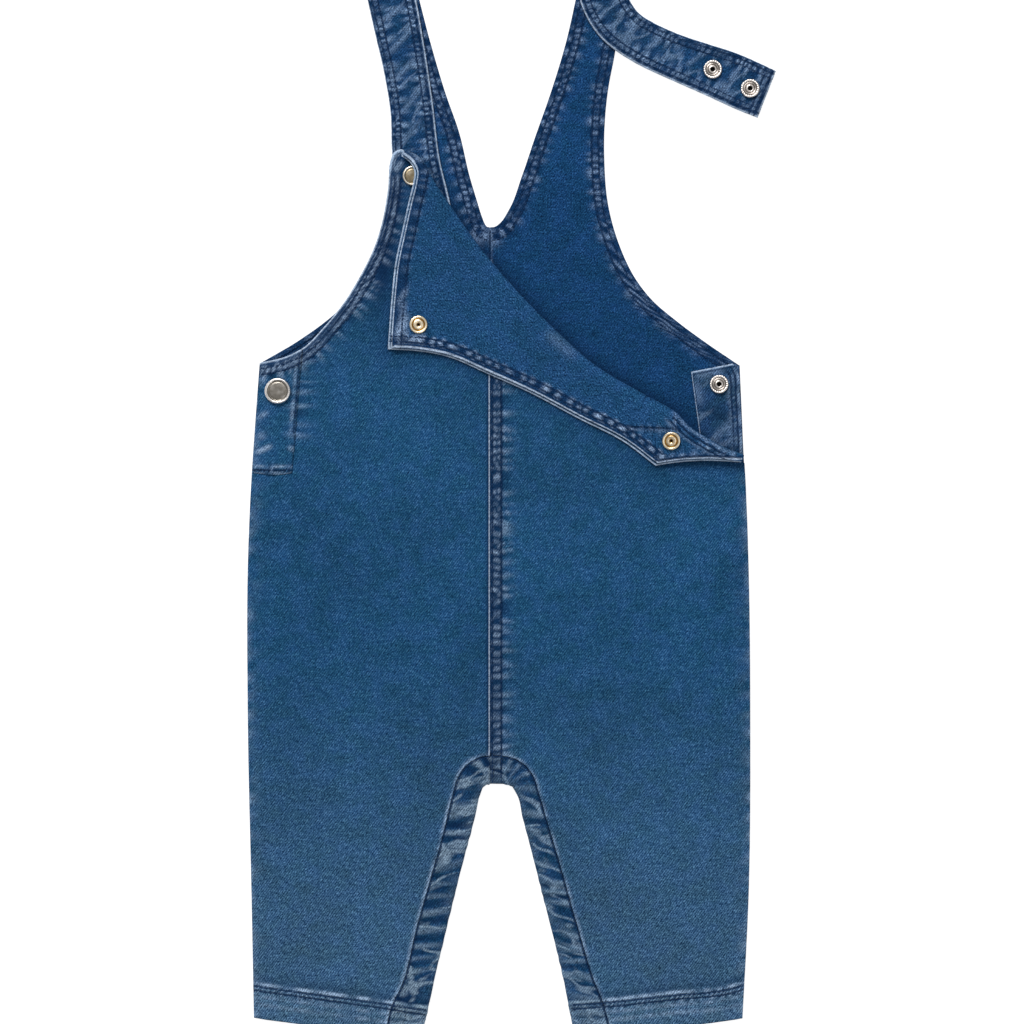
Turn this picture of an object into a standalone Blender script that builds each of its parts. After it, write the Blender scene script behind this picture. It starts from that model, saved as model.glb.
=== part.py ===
"""Baby's denim dungarees, laid flat on a surface with the front up.

The right half of the bib is unfastened and turned down over the left front, so that its
facing shows, and the right strap lies free beside the garment. Every cut piece is a wall
of cloth of its own. The frame is in metres with +Z up: X runs across the garment, Y from
the hems up to the straps, and the origin lies on the floor below the middle of it all.

The tables and the functions work in millimetres, and every mesh is made in metres.
"""

import math

import bmesh
import bpy
import numpy as np

MM = 0.001
WELD = 1e-6

# Thickness of each cloth, and the gap that touching pieces keep
CLOTH = 1.2
FACING = 1.0
STRAP = 2.0
GAP = 0.3
HALF_SEAM = GAP / 2

# Heights of the middle of each layer above the floor
BACK_LEVEL = CLOTH / 2
ON_BACK = CLOTH + GAP
FRONT_LEVEL = 3.2
SIDE_SEAM_LEVEL = ON_BACK + CLOTH / 2
BACK_PLACKET_LEVEL = ON_BACK + CLOTH / 2
STRAP_LEVEL = ON_BACK + STRAP / 2
FLAP_RISE = 1.7
FACING_RISE = CLOTH / 2 + GAP + FACING / 2

# How the front swells between its edges, and how narrow the pinch of a side seam is
SWELL = 1.6
SWELL_RUN = 14.0
PINCH_RUN = 4.0

# A layer that lies over another rises before it gets there
CLEAR_MARGIN = 3.0
CLEAR_RUN = 12.0
CAP_MARGIN = 2.0
CAP_RUN = 9.0

# Outline of the pattern, from the garment as it lies: across, up
LEFT_SIDE = (
    (-141.4, -283.2),
    (-142.7, -218.9),
    (-144.9, -108.9),
    (-144.7, -31.9),
    (-142.5, 17.6),
    (-140.2, 50.6),
    (-138.3, 76.2),
)
RIGHT_SIDE = (
    (126.8, -283.5),
    (130.1, -218.9),
    (131.1, -119.9),
    (130.1, -31.9),
    (128.7, 6.6),
    (127.6, 25.9),
    (126.5, 50.6),
    (125.4, 75.0),
)
CENTRE = -11.8
CROTCH_TOP = -139.2
CROTCH = -154.6
BACK_NECK = 150.7
NECK_BEND = 170.0
UNDERARM = 76.2
LEFT_INNER_SEAM = (
    (-69.0, -292.6),
    (-65.7, -277.2),
    (-59.7, -264.6),
    (-51.8, -233.8),
    (-42.6, -201.3),
    (-36.2, -178.2),
    (-32.2, -161.7),
    (-28.6, -150.2),
    (-24.0, -144.0),
    (-18.4, -140.6),
    (CENTRE, CROTCH_TOP),
)
LEFT_INNER_EDGE = (
    (-50.6, -295.9),
    (-48.3, -287.1),
    (-39.9, -251.1),
    (-32.7, -221.1),
    (-26.1, -194.7),
    (-20.3, -173.2),
    (-17.3, -160.6),
    (-15.4, -156.2),
    (CENTRE, CROTCH),
)
RIGHT_INNER_SEAM = (
    (54.7, -292.6),
    (50.3, -275.6),
    (45.4, -263.5),
    (35.7, -232.1),
    (26.7, -200.2),
    (19.5, -176.0),
    (14.8, -160.1),
    (11.6, -150.4),
    (7.2, -144.6),
    (1.6, -141.2),
    (-4.6, -139.5),
    (CENTRE, CROTCH_TOP),
)
RIGHT_INNER_EDGE = (
    (35.8, -295.9),
    (33.8, -287.1),
    (27.2, -255.2),
    (20.6, -228.8),
    (13.5, -200.8),
    (6.9, -175.5),
    (3.0, -160.4),
    (0.4, -156.2),
    (-3.6, -154.8),
    (CENTRE, CROTCH),
)
LEFT_ARMHOLE = (
    (-138.3, 76.2),
    (-125.7, 78.9),
    (-114.7, 84.2),
    (-103.1, 95.7),
    (-90.7, 111.1),
    (-82.8, 124.3),
    (-76.2, 137.5),
    (-71.2, 152.4),
    (-67.7, 171.6),
    (-66.0, 188.1),
    (-64.6, 191.4),
    (-61.9, 193.0),
)
# The line between the side placket and the front, carried on down the leg
PLACKET_LINE = (
    (-120.0, -285.8),
    (-121.0, -218.9),
    (-122.6, -108.9),
    (-122.4, -31.9),
    (-120.2, 16.0),
    (-118.3, 38.5),
    (-114.7, 84.2),
)
PLACKET_FOOT = 16.0
# The outer fold of the turned-down bib, from the bib's top to the right side
FOLD = (
    (-57.6, 193.0),
    (-50.4, 188.4),
    (-45.4, 180.4),
    (-32.7, 161.4),
    (-17.3, 139.7),
    (-1.9, 121.3),
    (21.5, 96.8),
    (46.3, 74.8),
    (74.0, 58.3),
    (89.4, 49.5),
    (98.0, 41.0),
    (108.0, 34.6),
    (117.6, 29.4),
    (127.6, 25.9),
)
# Half the height of the fold's roll at places along it: across, radius
FOLD_ROLL = (
    (-57.6, 1.4),
    (40.0, 1.6),
    (88.0, 3.0),
    (127.6, 1.8),
)
# How many radii of the roll the cloth takes to come down beside it
ROLL_LOFT_RUN = 5.0
# The free edges of the turned-down bib: its top edge, its armhole edge and its side edge
BIB_TOP = (
    (-60.2, 189.3),
    (-55.8, 186.0),
    (-53.2, 181.0),
    (-53.8, 174.9),
    (-56.4, 164.5),
    (-60.2, 147.4),
    (-63.5, 132.0),
    (-65.7, 112.2),
    (-67.8, 83.6),
)
BIB_ARMHOLE = (
    (-67.8, 83.6),
    (-50.3, 82.5),
    (-36.0, 79.8),
    (-12.9, 70.1),
    (9.6, 60.0),
    (37.1, 45.4),
    (61.3, 33.0),
    (78.9, 19.8),
)
BIB_SIDE = (
    (78.9, 19.8),
    (87.7, 21.3),
    (106.0, 22.6),
    (125.4, 21.8),
)
# Where the fold, going across, faces a corner of the bib, and where the facing ends
FOLD_AT_CORNER = 3.0
FOLD_AT_FACING_END = 72.0
FOLD_AT_SIDE_CORNER = 92.0
ARMHOLE_AT_FACING_END = 60.0
BACK_LEFT_ARMHOLE = (
    (-138.3, 76.2),
    (-116.3, 89.1),
    (-99.8, 101.2),
    (-89.4, 110.9),
    (-81.1, 124.9),
    (-74.5, 137.5),
    (-69.6, 152.4),
    (-66.3, 171.6),
    (-64.6, 193.6),
    (-65.2, 212.3),
    (-68.5, 234.9),
    (-73.4, 256.3),
    (-79.7, 284.0),
)
BACK_RIGHT_ARMHOLE = (
    (125.4, 75.0),
    (105.3, 88.6),
    (89.1, 100.7),
    (77.1, 111.1),
    (68.5, 122.1),
    (59.1, 141.6),
    (53.1, 163.4),
    (51.0, 188.1),
    (51.2, 207.4),
    (53.1, 226.6),
    (56.2, 243.1),
    (60.2, 265.1),
    (63.6, 284.0),
)
NECK_LEFT = (
    (CENTRE, BACK_NECK),
    (-15.7, 156.2),
    (-19.5, 167.2),
    (-22.8, 178.2),
    (-28.9, 203.5),
    (-36.4, 225.0),
    (-44.3, 251.6),
    (-52.7, 284.0),
)
NECK_RIGHT = (
    (CENTRE, BACK_NECK),
    (-6.2, 153.5),
    (-1.4, 160.6),
    (5.8, 179.3),
    (12.7, 199.7),
    (21.6, 225.0),
    (29.4, 250.6),
    (37.0, 284.0),
)
# The straps, from the shoulder fold to their ends: each edge across, up
SHOULDER_SEAM = 284.0
SHOULDER_ROLL = 1.6
SHOULDER_LOFT_RUN = 16.0
LEFT_STRAP_OUTER = (
    (-82.4, 293.4),
    (-79.1, 276.1),
    (-74.7, 256.3),
    (-69.8, 234.9),
    (-66.3, 212.3),
    (-65.7, 193.6),
    (-63.5, 171.6),
    (-56.9, 141.4),
)
LEFT_STRAP_INNER = (
    (-56.6, 293.4),
    (-52.5, 276.1),
    (-48.1, 251.4),
    (-43.2, 218.9),
    (-39.3, 187.6),
    (-33.8, 164.5),
    (-31.1, 146.3),
)
RIGHT_STRAP_LOWER = (
    (35.5, 293.4),
    (36.0, 282.7),
    (37.6, 275.2),
    (42.4, 264.0),
    (50.2, 253.6),
    (58.3, 247.0),
    (70.7, 239.8),
    (85.5, 232.9),
    (105.3, 224.1),
    (124.9, 215.2),
    (135.2, 211.1),
)
RIGHT_STRAP_UPPER = (
    (62.0, 293.4),
    (62.8, 282.7),
    (64.9, 275.4),
    (69.5, 268.8),
    (77.8, 263.5),
    (89.4, 258.0),
    (105.3, 252.5),
    (124.9, 246.1),
    (145.3, 236.8),
)
BACK_PLACKET_INNER = (
    (105.9, 16.0),
    (104.0, 32.6),
    (100.4, 58.9),
    (98.7, 71.5),
)
BACK_PLACKET_OUTER = (
    (127.3, 16.0),
    (126.9, 32.0),
    (125.6, 58.0),
    (124.4, 71.6),
    (121.6, 76.0),
)

# Soft folds of the front: from across, from up, to across, to up, width, height
FRONT_FOLDS = (
    (-118.0, 8.0, -92.0, -30.0, 7.0, 0.6),
    (-98.0, 66.0, -78.0, 30.0, 8.0, 0.5),
    (-60.0, -70.0, -96.0, -190.0, 11.0, 0.7),
    (-108.0, -150.0, -118.0, -262.0, 9.0, 0.6),
    (-36.0, -120.0, -62.0, -96.0, 7.0, 0.6),
    (10.0, -122.0, 34.0, -100.0, 7.0, 0.6),
    (58.0, -60.0, 84.0, -190.0, 11.0, 0.7),
    (104.0, -140.0, 110.0, -258.0, 9.0, 0.6),
    (118.0, 2.0, 82.0, -22.0, 7.0, 0.6),
    (70.0, 4.0, 44.0, -18.0, 8.0, 0.5),
)

# Rows up the garment: leg, crotch, body and side placket, then what each piece adds
SIDE_COUNTS = (8, 6, 7, 4)
SIDE_STOPS = (-168.0, -122.0, PLACKET_FOOT)
SEAM_BEND = -163.0
EDGE_BEND = -176.0
PLACKET_ROWS = SIDE_COUNTS[-1]
CHEST_ROWS = 5
BIB_ROWS = 9
BIB_CROWDING = 1.4
BACK_COUNTS = (8, 4, 11)
RIGHT_ROWS = 14
RIGHT_ROWS_BELOW = 4
STRAP_ROWS = 30

# Lanes across the pieces, and stations along the fold from one corner to the next
SIDE_LANES = (0.0, 0.14, 0.45, 1.0)
MAIN_LANES = 8
BACK_LANES = 7
STRIP_LANES = 2
STRAP_LANES = 4
FLAP_LANES = 6
FLAP_COUNTS = (BIB_ROWS, 2, 7, 2)
END_SHARES = np.array((0.0, 0.4, 0.72, 0.92, 1.0))
ROLL_STEPS = 5
OUTLINE_POINTS = 240
RING_POINTS = 24

# The largest share of its lane that an edge is drawn in
MOST_DRAWN_IN = 0.45

# How far a facing stops short of the edge, and how far round the roll it starts
FACING_INSET = 0.8
FACING_ROLL_START = -15.0

# Snaps: outer radius, height
CAP_SIDE = (7.15, 2.4)
CAP_BIB = (5.5, 1.8)
SNAP_BACK = (5.0, 1.4)
SOCKET = (5.2, 2.0)
SNAP_STEPS = 24

# Where each snap sits: across, up
CAP_SIDE_PLACE = (-127.9, 60.8)
CAP_BIB_PLACE = (-54.2, 178.8)
SNAP_BACK_BIB_PLACE = (-50.9, 97.0)
SNAP_BACK_SIDE_PLACE = (87.3, 33.4)
SOCKET_SIDE_PLACE = (113.9, 64.6)
SOCKET_STRAP_INNER_PLACE = (110.4, 237.5)
SOCKET_STRAP_END_PLACE = (131.0, 227.0)

# Finishes: colour as red, green and blue, roughness, metallic
DENIM_FACE = ((0.028, 0.098, 0.195), 0.88, 0.0)
DENIM_REVERSE = ((0.026, 0.090, 0.190), 0.9, 0.0)
DENIM_INSIDE = ((0.012, 0.052, 0.125), 0.92, 0.0)
DENIM_STRAP = ((0.024, 0.085, 0.180), 0.88, 0.0)
PEWTER = ((0.55, 0.52, 0.49), 0.34, 1.0)
NICKEL = ((0.72, 0.70, 0.66), 0.28, 1.0)
BRASS = ((0.66, 0.47, 0.20), 0.3, 1.0)


def smooth_line(points, count=OUTLINE_POINTS):
    """Evenly spaced points on the smooth curve through a table's points (cubic pieces)."""
    knots = np.array(points, float)
    gaps = np.linalg.norm(np.diff(knots, axis=0), axis=1)
    along = np.concatenate([[0.0], np.cumsum(gaps)])
    slopes = np.gradient(knots, along, axis=0)
    fine = np.linspace(0.0, along[-1], 8 * count)
    piece = np.clip(np.searchsorted(along, fine, side="right") - 1, 0, len(gaps) - 1)
    span = gaps[piece][:, None]
    t = ((fine - along[piece]) / gaps[piece])[:, None]
    start, end = knots[piece], knots[piece + 1]
    start_slope, end_slope = slopes[piece] * span, slopes[piece + 1] * span
    curve = (
        (2 * t**3 - 3 * t**2 + 1) * start
        + (t**3 - 2 * t**2 + t) * start_slope
        + (3 * t**2 - 2 * t**3) * end
        + (t**3 - t**2) * end_slope
    )
    return even_points(curve, count)


def even_points(line, count):
    """The line again, with its points at even distances."""
    along = distance_along(line)
    return points_at(line, np.linspace(0.0, along[-1], count))


def distance_along(line):
    """How far along a line each of its points is."""
    return np.concatenate([[0.0], np.cumsum(np.linalg.norm(np.diff(line, axis=0), axis=1))])


def points_at(line, distances):
    """Points on a line at distances from its start."""
    along = distance_along(line)
    return np.stack([np.interp(distances, along, line[:, k]) for k in range(2)], axis=1)


def place_shares(count):
    """Even shares from 0 to 1, for that many steps."""
    return np.linspace(0.0, 1.0, count + 1)


def stretch(line, axis, start, end, shares):
    """Points at shares of the part of a line between two values of one coordinate."""
    sign = 1.0 if line[-1, axis] > line[0, axis] else -1.0
    ordered = np.maximum.accumulate(sign * line[:, axis])
    along = distance_along(line)
    first, last = np.interp([sign * start, sign * end], ordered, along)
    return points_at(line, first + (last - first) * shares)


def rows_of(line, heights, counts):
    """Points on a line at stretches of rows: from each height to the next, that many rows."""
    parts = [
        stretch(line, 1, low, high, place_shares(count))
        for low, high, count in zip(heights[:-1], heights[1:], counts)
    ]
    return np.vstack([part[:-1] for part in parts] + [parts[-1][-1:]])


def straight(start, end, count):
    """Even points on a straight line."""
    return np.linspace(np.array(start, float), np.array(end, float), count)


def normals_of(line):
    """Unit vectors square to a line, on its left."""
    direction = np.gradient(line, axis=0)
    direction /= np.linalg.norm(direction, axis=1)[:, None]
    return np.stack([-direction[:, 1], direction[:, 0]], axis=1)


def drawn_in(line, towards, distance):
    """A line moved by a distance towards another line of as many points."""
    way = towards - line
    length = np.maximum(np.linalg.norm(way, axis=1), 1e-9)
    share = np.minimum(distance / length, MOST_DRAWN_IN)
    return line + way * share[:, None]


def between(left, right, lanes, head=None):
    """A grid of points between two lines; head is the shape of its last row."""
    lanes = np.asarray(lanes, float)[None, :, None]
    grid = left[:, None] * (1 - lanes) + right[:, None] * lanes
    if head is None:
        return grid
    up = np.linspace(0.0, 1.0, len(left))[:, None, None]
    return grid + up * (head - grid[-1])[None]


def away_from(points, line):
    """How far each point is from a line of points."""
    flat = points.reshape(-1, 1, 2)
    start, way = line[None, :-1], np.diff(line, axis=0)[None]
    share = ((flat - start) * way).sum(-1) / np.maximum((way * way).sum(-1), 1e-12)
    nearest = start + np.clip(share, 0, 1)[..., None] * way
    return np.linalg.norm(flat - nearest, axis=-1).min(axis=1).reshape(points.shape[:-1])


def inside(points, outline):
    """Whether each point is inside a closed outline (crossings of a level line)."""
    x, y = points[..., 0, None], points[..., 1, None]
    start, end = outline, np.roll(outline, -1, axis=0)
    rise = end[:, 1] - start[:, 1]
    safe = np.where(np.abs(rise) < 1e-12, 1e-12, rise)
    crossing = start[:, 0] + (y - start[:, 1]) / safe * (end[:, 0] - start[:, 0])
    crosses = ((start[:, 1] > y) != (end[:, 1] > y)) & (x < crossing)
    return crosses.sum(-1) % 2 == 1


def ease(share):
    """A smooth step from 0 to 1."""
    share = np.clip(share, 0.0, 1.0)
    return share * share * (3 - 2 * share)


def cover(points, outline, margin=CLEAR_MARGIN, run=CLEAR_RUN):
    """1 on an outline and close round it, falling smoothly to 0."""
    closed = np.vstack([outline, outline[:1]])
    distance = np.where(inside(points, outline), 0.0, away_from(points, closed))
    return ease(1 - (distance - margin) / run)


def lifted(heights, points, outline, level, margin=CLEAR_MARGIN, run=CLEAR_RUN):
    """Heights raised to a level where a piece lies underneath."""
    return heights + np.maximum(level - heights, 0) * cover(points, outline, margin, run)


def ring(place, radius):
    """Points on a circle."""
    angles = np.linspace(0, 2 * math.pi, RING_POINTS, endpoint=False)
    return np.array(place) + radius * np.stack([np.cos(angles), np.sin(angles)], axis=1)


def fold_heights(points, folds):
    """Soft ridges: each is highest along its line and fades to its sides and ends."""
    total = np.zeros(points.shape[:-1])
    for from_across, from_up, to_across, to_up, width, height in folds:
        start = np.array((from_across, from_up))
        way = np.array((to_across, to_up)) - start
        length = np.linalg.norm(way)
        share = ((points - start) @ way) / length**2
        side = np.linalg.norm(points - start - share[..., None] * way, axis=-1)
        fade = ease(1.5 - np.abs(share - 0.5) * 2)
        total += height * np.exp(-((side / width) ** 2)) * fade
    return total


class Lines:
    """The smooth lines that the panels share."""

    left_side = smooth_line(LEFT_SIDE)
    right_side = smooth_line(RIGHT_SIDE)
    left_armhole = smooth_line(LEFT_ARMHOLE)
    placket_line = smooth_line(PLACKET_LINE)
    left_inner_seam = smooth_line(LEFT_INNER_SEAM)
    right_inner_seam = smooth_line(RIGHT_INNER_SEAM)
    left_inner_edge = smooth_line(LEFT_INNER_EDGE)
    right_inner_edge = smooth_line(RIGHT_INNER_EDGE)
    fold = smooth_line(FOLD)
    bib_top = smooth_line(BIB_TOP)
    bib_armhole = smooth_line(BIB_ARMHOLE)
    bib_side = smooth_line(BIB_SIDE)
    back_left_armhole = smooth_line(BACK_LEFT_ARMHOLE)
    back_right_armhole = smooth_line(BACK_RIGHT_ARMHOLE)
    neck_left = smooth_line(NECK_LEFT)
    neck_right = smooth_line(NECK_RIGHT)
    left_strap_outer = smooth_line(LEFT_STRAP_OUTER)
    left_strap_inner = smooth_line(LEFT_STRAP_INNER)
    right_strap_lower = smooth_line(RIGHT_STRAP_LOWER)
    right_strap_upper = smooth_line(RIGHT_STRAP_UPPER)
    back_placket_inner = smooth_line(BACK_PLACKET_INNER)
    back_placket_outer = smooth_line(BACK_PLACKET_OUTER)


def outline_between(first, second):
    """A closed outline from two lines that run the same way."""
    return np.vstack([first, second[::-1]])


LEFT_STRAP_OUTLINE = outline_between(Lines.left_strap_outer, Lines.left_strap_inner)
BACK_PLACKET_OUTLINE = outline_between(Lines.back_placket_inner, Lines.back_placket_outer)
BACK_OUTLINE = outline_between(
    np.vstack([Lines.left_side, Lines.back_left_armhole, Lines.neck_left[::-1]]),
    np.vstack([Lines.right_side, Lines.back_right_armhole, Lines.neck_right[::-1]]),
)


def front_level(points):
    """Height of the middle of the front cloth, as a function of the place on the floor."""
    sides = np.minimum(
        away_from(points, Lines.left_side),
        away_from(points, Lines.right_side[Lines.right_side[:, 1] < PLACKET_FOOT]),
    )
    edges = sides
    for line in (Lines.left_armhole, Lines.left_inner_edge, Lines.right_inner_edge):
        edges = np.minimum(edges, away_from(points, line))
    heights = FRONT_LEVEL + SWELL * (1 - np.exp(-edges / SWELL_RUN))
    heights = heights + fold_heights(points, FRONT_FOLDS) * (1 - np.exp(-edges / SWELL_RUN))
    heights = heights - (FRONT_LEVEL - SIDE_SEAM_LEVEL) * np.exp(-((sides / PINCH_RUN) ** 2))
    over_strap = STRAP_LEVEL + STRAP / 2 + GAP + CLOTH / 2
    over_placket = BACK_PLACKET_LEVEL + CLOTH + GAP
    heights = lifted(heights, points, LEFT_STRAP_OUTLINE, over_strap)
    return lifted(heights, points, BACK_PLACKET_OUTLINE, over_placket)


def roll_radius(across):
    """Half the height of the fold's roll at places across the garment."""
    table = np.array(FOLD_ROLL)
    return np.interp(across, table[:, 0], table[:, 1])


def fold_base():
    """The line where the front turns up into the roll, inside the outer fold."""
    line = Lines.fold
    reach = roll_radius(line[:, 0]) + CLOTH / 2 + GAP + FACING
    return line - normals_of(line) * reach[:, None]


FOLD_BASE = fold_base()


def flap_level(points):
    """Height of the middle of the turned-down front cloth."""
    radius = roll_radius(points[..., 0])
    distance = away_from(points, FOLD_BASE)
    under = front_level(points)
    loft = (2 * radius - FLAP_RISE) * np.exp(-((distance / (ROLL_LOFT_RUN * radius)) ** 2))
    heights = under + FLAP_RISE + loft
    cap = ring(CAP_BIB_PLACE, CAP_BIB[0])
    cap_top = front_level(np.array(CAP_BIB_PLACE)[None])[0] + CLOTH / 2 + GAP + CAP_BIB[1]
    return lifted(heights, points, cap, cap_top + GAP + CLOTH / 2, CAP_MARGIN, CAP_RUN)


def strap_level(points):
    """Height of the middle of a strap that lies on the back and then on the floor."""
    return STRAP / 2 + ON_BACK * cover(points, BACK_OUTLINE)


def with_height(points, heights):
    """Places on the floor and their heights as points in space."""
    heights = np.broadcast_to(heights, points.shape[:-1])
    return np.concatenate([points, heights[..., None]], axis=-1)


def finish_of(name, finish):
    """A material of one colour, roughness and metallic value."""
    colour, roughness, metallic = finish
    material = bpy.data.materials.new(name)
    material.use_nodes = True
    shader = material.node_tree.nodes["Principled BSDF"]
    shader.inputs["Base Color"].default_value = (*colour, 1.0)
    shader.inputs["Roughness"].default_value = roughness
    shader.inputs["Metallic"].default_value = metallic
    return material


def add_object(name, mesh, finish, collection):
    """A named object in the collection, with a finish of its own."""
    solid = bpy.data.objects.new(name, mesh)
    mesh.materials.append(finish_of(name, finish))
    collection.objects.link(solid)
    return solid


def add_cloth(name, patches, thickness, finish, collection):
    """A wall of cloth on patches of points that share their edges."""
    work = bmesh.new()
    for patch in patches:
        rows, lanes = patch.shape[:2]
        corners = [work.verts.new(point * MM) for point in patch.reshape(-1, 3)]
        for row in range(rows - 1):
            for lane in range(lanes - 1):
                first = row * lanes + lane
                loop = (first, first + 1, first + lanes + 1, first + lanes)
                work.faces.new([corners[k] for k in loop])
    bmesh.ops.remove_doubles(work, verts=work.verts, dist=WELD)
    bmesh.ops.recalc_face_normals(work, faces=work.faces)
    mesh = bpy.data.meshes.new(name)
    work.to_mesh(mesh)
    work.free()
    mesh.shade_smooth()
    solid = add_object(name, mesh, finish, collection)
    wall = solid.modifiers.new("wall", "SOLIDIFY")
    wall.thickness = thickness * MM
    wall.offset = 0.0
    return solid


def rows_up_side(line, upper):
    """Row places up a side line: leg, crotch and body, then the placket's rows to the top."""
    return rows_of(line, (line[0, 1], *SIDE_STOPS, upper), SIDE_COUNTS)


def rows_up_middle(seam, upper, more):
    """Row places up an inner-leg seam and the centre line, to a height above the underarm."""
    leg = rows_of(seam, (seam[0, 1], SEAM_BEND, CROTCH_TOP), SIDE_COUNTS[:2])
    middle = straight((CENTRE, CROTCH_TOP), (CENTRE, upper), OUTLINE_POINTS)
    heights = (CROTCH_TOP, PLACKET_FOOT, UNDERARM, upper)
    return np.vstack([leg[:-1], rows_of(middle, heights, (*SIDE_COUNTS[2:], more))])


def moved(point, towards, distance):
    """A point moved by a distance towards another."""
    way = towards - point
    return point + way * distance / np.linalg.norm(way)


def fold_corner():
    """The place where the centre seam meets the foot of the roll."""
    return np.array((CENTRE, np.interp(CENTRE, FOLD_BASE[:, 0], FOLD_BASE[:, 1])))


def bib_shares():
    """Shares down the bib's half of the fold, closer together towards its top."""
    return place_shares(BIB_ROWS) ** BIB_CROWDING


def fold_stations():
    """Places along the fold and the free edges that face each other, from the top to the side."""
    corners = (CENTRE, FOLD_AT_CORNER, FOLD_AT_FACING_END, FOLD_AT_SIDE_CORNER)
    across = (FOLD_BASE[0, 0], *corners, FOLD_BASE[-1, 0])
    shares = [bib_shares(), *[place_shares(count) for count in FLAP_COUNTS[1:]], END_SHARES]
    fold = [
        stretch(FOLD_BASE, 0, start, end, share)[:-1]
        for start, end, share in zip(across[:-1], across[1:], shares)
    ]
    free = [
        stretch(Lines.bib_top, 1, BIB_TOP[0][1], fold_corner()[1], shares[0])[:-1],
        stretch(Lines.bib_top, 1, fold_corner()[1], BIB_TOP[-1][1], shares[1])[:-1],
        stretch(Lines.bib_armhole, 0, BIB_TOP[-1][0], ARMHOLE_AT_FACING_END, shares[2])[:-1],
        stretch(Lines.bib_armhole, 0, ARMHOLE_AT_FACING_END, BIB_SIDE[0][0], shares[3])[:-1],
        stretch(Lines.bib_side, 0, BIB_SIDE[0][0], BIB_SIDE[-1][0], shares[4]),
    ]
    return np.vstack([*fold, FOLD_BASE[-1:]]), np.vstack(free)


def stations_part(stations, first, last):
    """Some of the stations, with the ends that meet another piece moved in by half a seam."""
    fold, free = (line[first : last + 1].copy() for line in stations)
    for line in (fold, free):
        if first > 0:
            line[0] = moved(line[0], line[1], HALF_SEAM)
        if last < len(stations[0]) - 1:
            line[-1] = moved(line[-1], line[-2], HALF_SEAM)
    return fold, free


def turned_down(stations, rise, edge, start):
    """The roll at the fold and the sheet that lies on the front below it, as two patches."""
    fold, free = stations
    out = normals_of(fold)
    base = between(fold, drawn_in(free, fold, edge), place_shares(FLAP_LANES))
    sheet = with_height(base, flap_level(base) + rise)
    rolled = roll(fold, out, front_level(fold), flap_level(fold), rise, start)
    return rolled, sheet


def roll(line, out, low, high, reach, start=-90.0):
    """Rows round a half circle, from one layer up and over to the layer above it."""
    angles = np.radians(np.linspace(start, 90.0, ROLL_STEPS + 1))[:, None]
    radius = (high - low) / 2 + reach
    places = line[None] + out[None] * (radius * np.cos(angles))[..., None]
    return with_height(places, (low + high) / 2 + radius * np.sin(angles))


def left_side_strip():
    """The part of the left front between its side and the line of the side placket."""
    side = rows_up_side(Lines.left_side, UNDERARM)
    placket = rows_up_side(Lines.placket_line, PLACKET_LINE[-1][1])
    edge = stretch(Lines.left_armhole, 0, side[-1, 0], placket[-1, 0], np.array(SIDE_LANES))
    return between(side, placket, SIDE_LANES, head=edge)


def add_front_left(garment, stations):
    """Left front: side strip, main part, bib tab, and the corner of bib that turns down."""
    part = stations_part(stations, 0, BIB_ROWS)
    fold = part[0]
    side_strip = left_side_strip()
    inner = rows_up_middle(Lines.left_inner_seam, fold[-1, 1], CHEST_ROWS)
    shares = place_shares(CHEST_ROWS)
    chest = stretch(Lines.left_armhole, 1, PLACKET_LINE[-1][1], fold[-1, 1], shares)
    upwards = 1 - bib_shares()[::-1]
    bib_edge = stretch(Lines.left_armhole, 1, fold[-1, 1], LEFT_ARMHOLE[-1][1], upwards)
    outer = np.vstack([side_strip[:, -1], chest[1:]])
    inner = drawn_in(inner, outer, HALF_SEAM)
    inner[-1] = fold[-1]
    main = between(outer, inner, place_shares(MAIN_LANES))
    bib = between(bib_edge, fold[::-1], place_shares(MAIN_LANES))
    fronts = [with_height(grid, front_level(grid)) for grid in (side_strip, main, bib)]
    down = turned_down(part, 0.0, 0.0, -90.0)
    add_cloth("front_left", [*fronts, *down], CLOTH, DENIM_FACE, garment)


def add_front_right(garment, stations):
    """Right front, from the hem to the fold, and the half of the bib that turns down."""
    part = stations_part(stations, BIB_ROWS, len(stations[0]) - 1)
    fold = part[0]
    lanes = (fold[:, 0] - fold[0, 0]) / (fold[-1, 0] - fold[0, 0])
    side = rows_of(
        Lines.right_side,
        (RIGHT_SIDE[0][1], *SIDE_STOPS[:2], fold[-1, 1]),
        (*SIDE_COUNTS[:2], RIGHT_ROWS),
    )
    leg = rows_of(
        Lines.right_inner_seam,
        (RIGHT_INNER_SEAM[0][1], SEAM_BEND, CROTCH_TOP),
        SIDE_COUNTS[:2],
    )
    middle = straight((CENTRE, CROTCH_TOP), (CENTRE, fold[0, 1]), RIGHT_ROWS + 1)
    inner = drawn_in(np.vstack([leg[:-1], middle]), side, HALF_SEAM)
    inner[-1] = fold[0]
    side[-1] = fold[-1]
    below = len(leg) + RIGHT_ROWS_BELOW
    lower = between(inner[:below], side[:below], lanes)
    upper = between(inner[below - 1 :], side[below - 1 :], lanes, head=fold)
    fronts = [with_height(grid, front_level(grid)) for grid in (lower, upper)]
    down = turned_down(part, 0.0, 0.0, -90.0)
    add_cloth("front_right", [*fronts, *down], CLOTH, DENIM_FACE, garment)


def add_bib_facings(garment, stations):
    """The facing behind the bib, and the placket that ends it at the side."""
    last = len(stations[0]) - 1
    end = sum(FLAP_COUNTS[:3])
    for name, first, final in (("bib_facing", 0, end), ("front_placket_right", end, last)):
        part = stations_part(stations, first, final)
        patches = turned_down(part, FACING_RISE, FACING_INSET, FACING_ROLL_START)
        add_cloth(name, patches, FACING, DENIM_REVERSE, garment)


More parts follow.
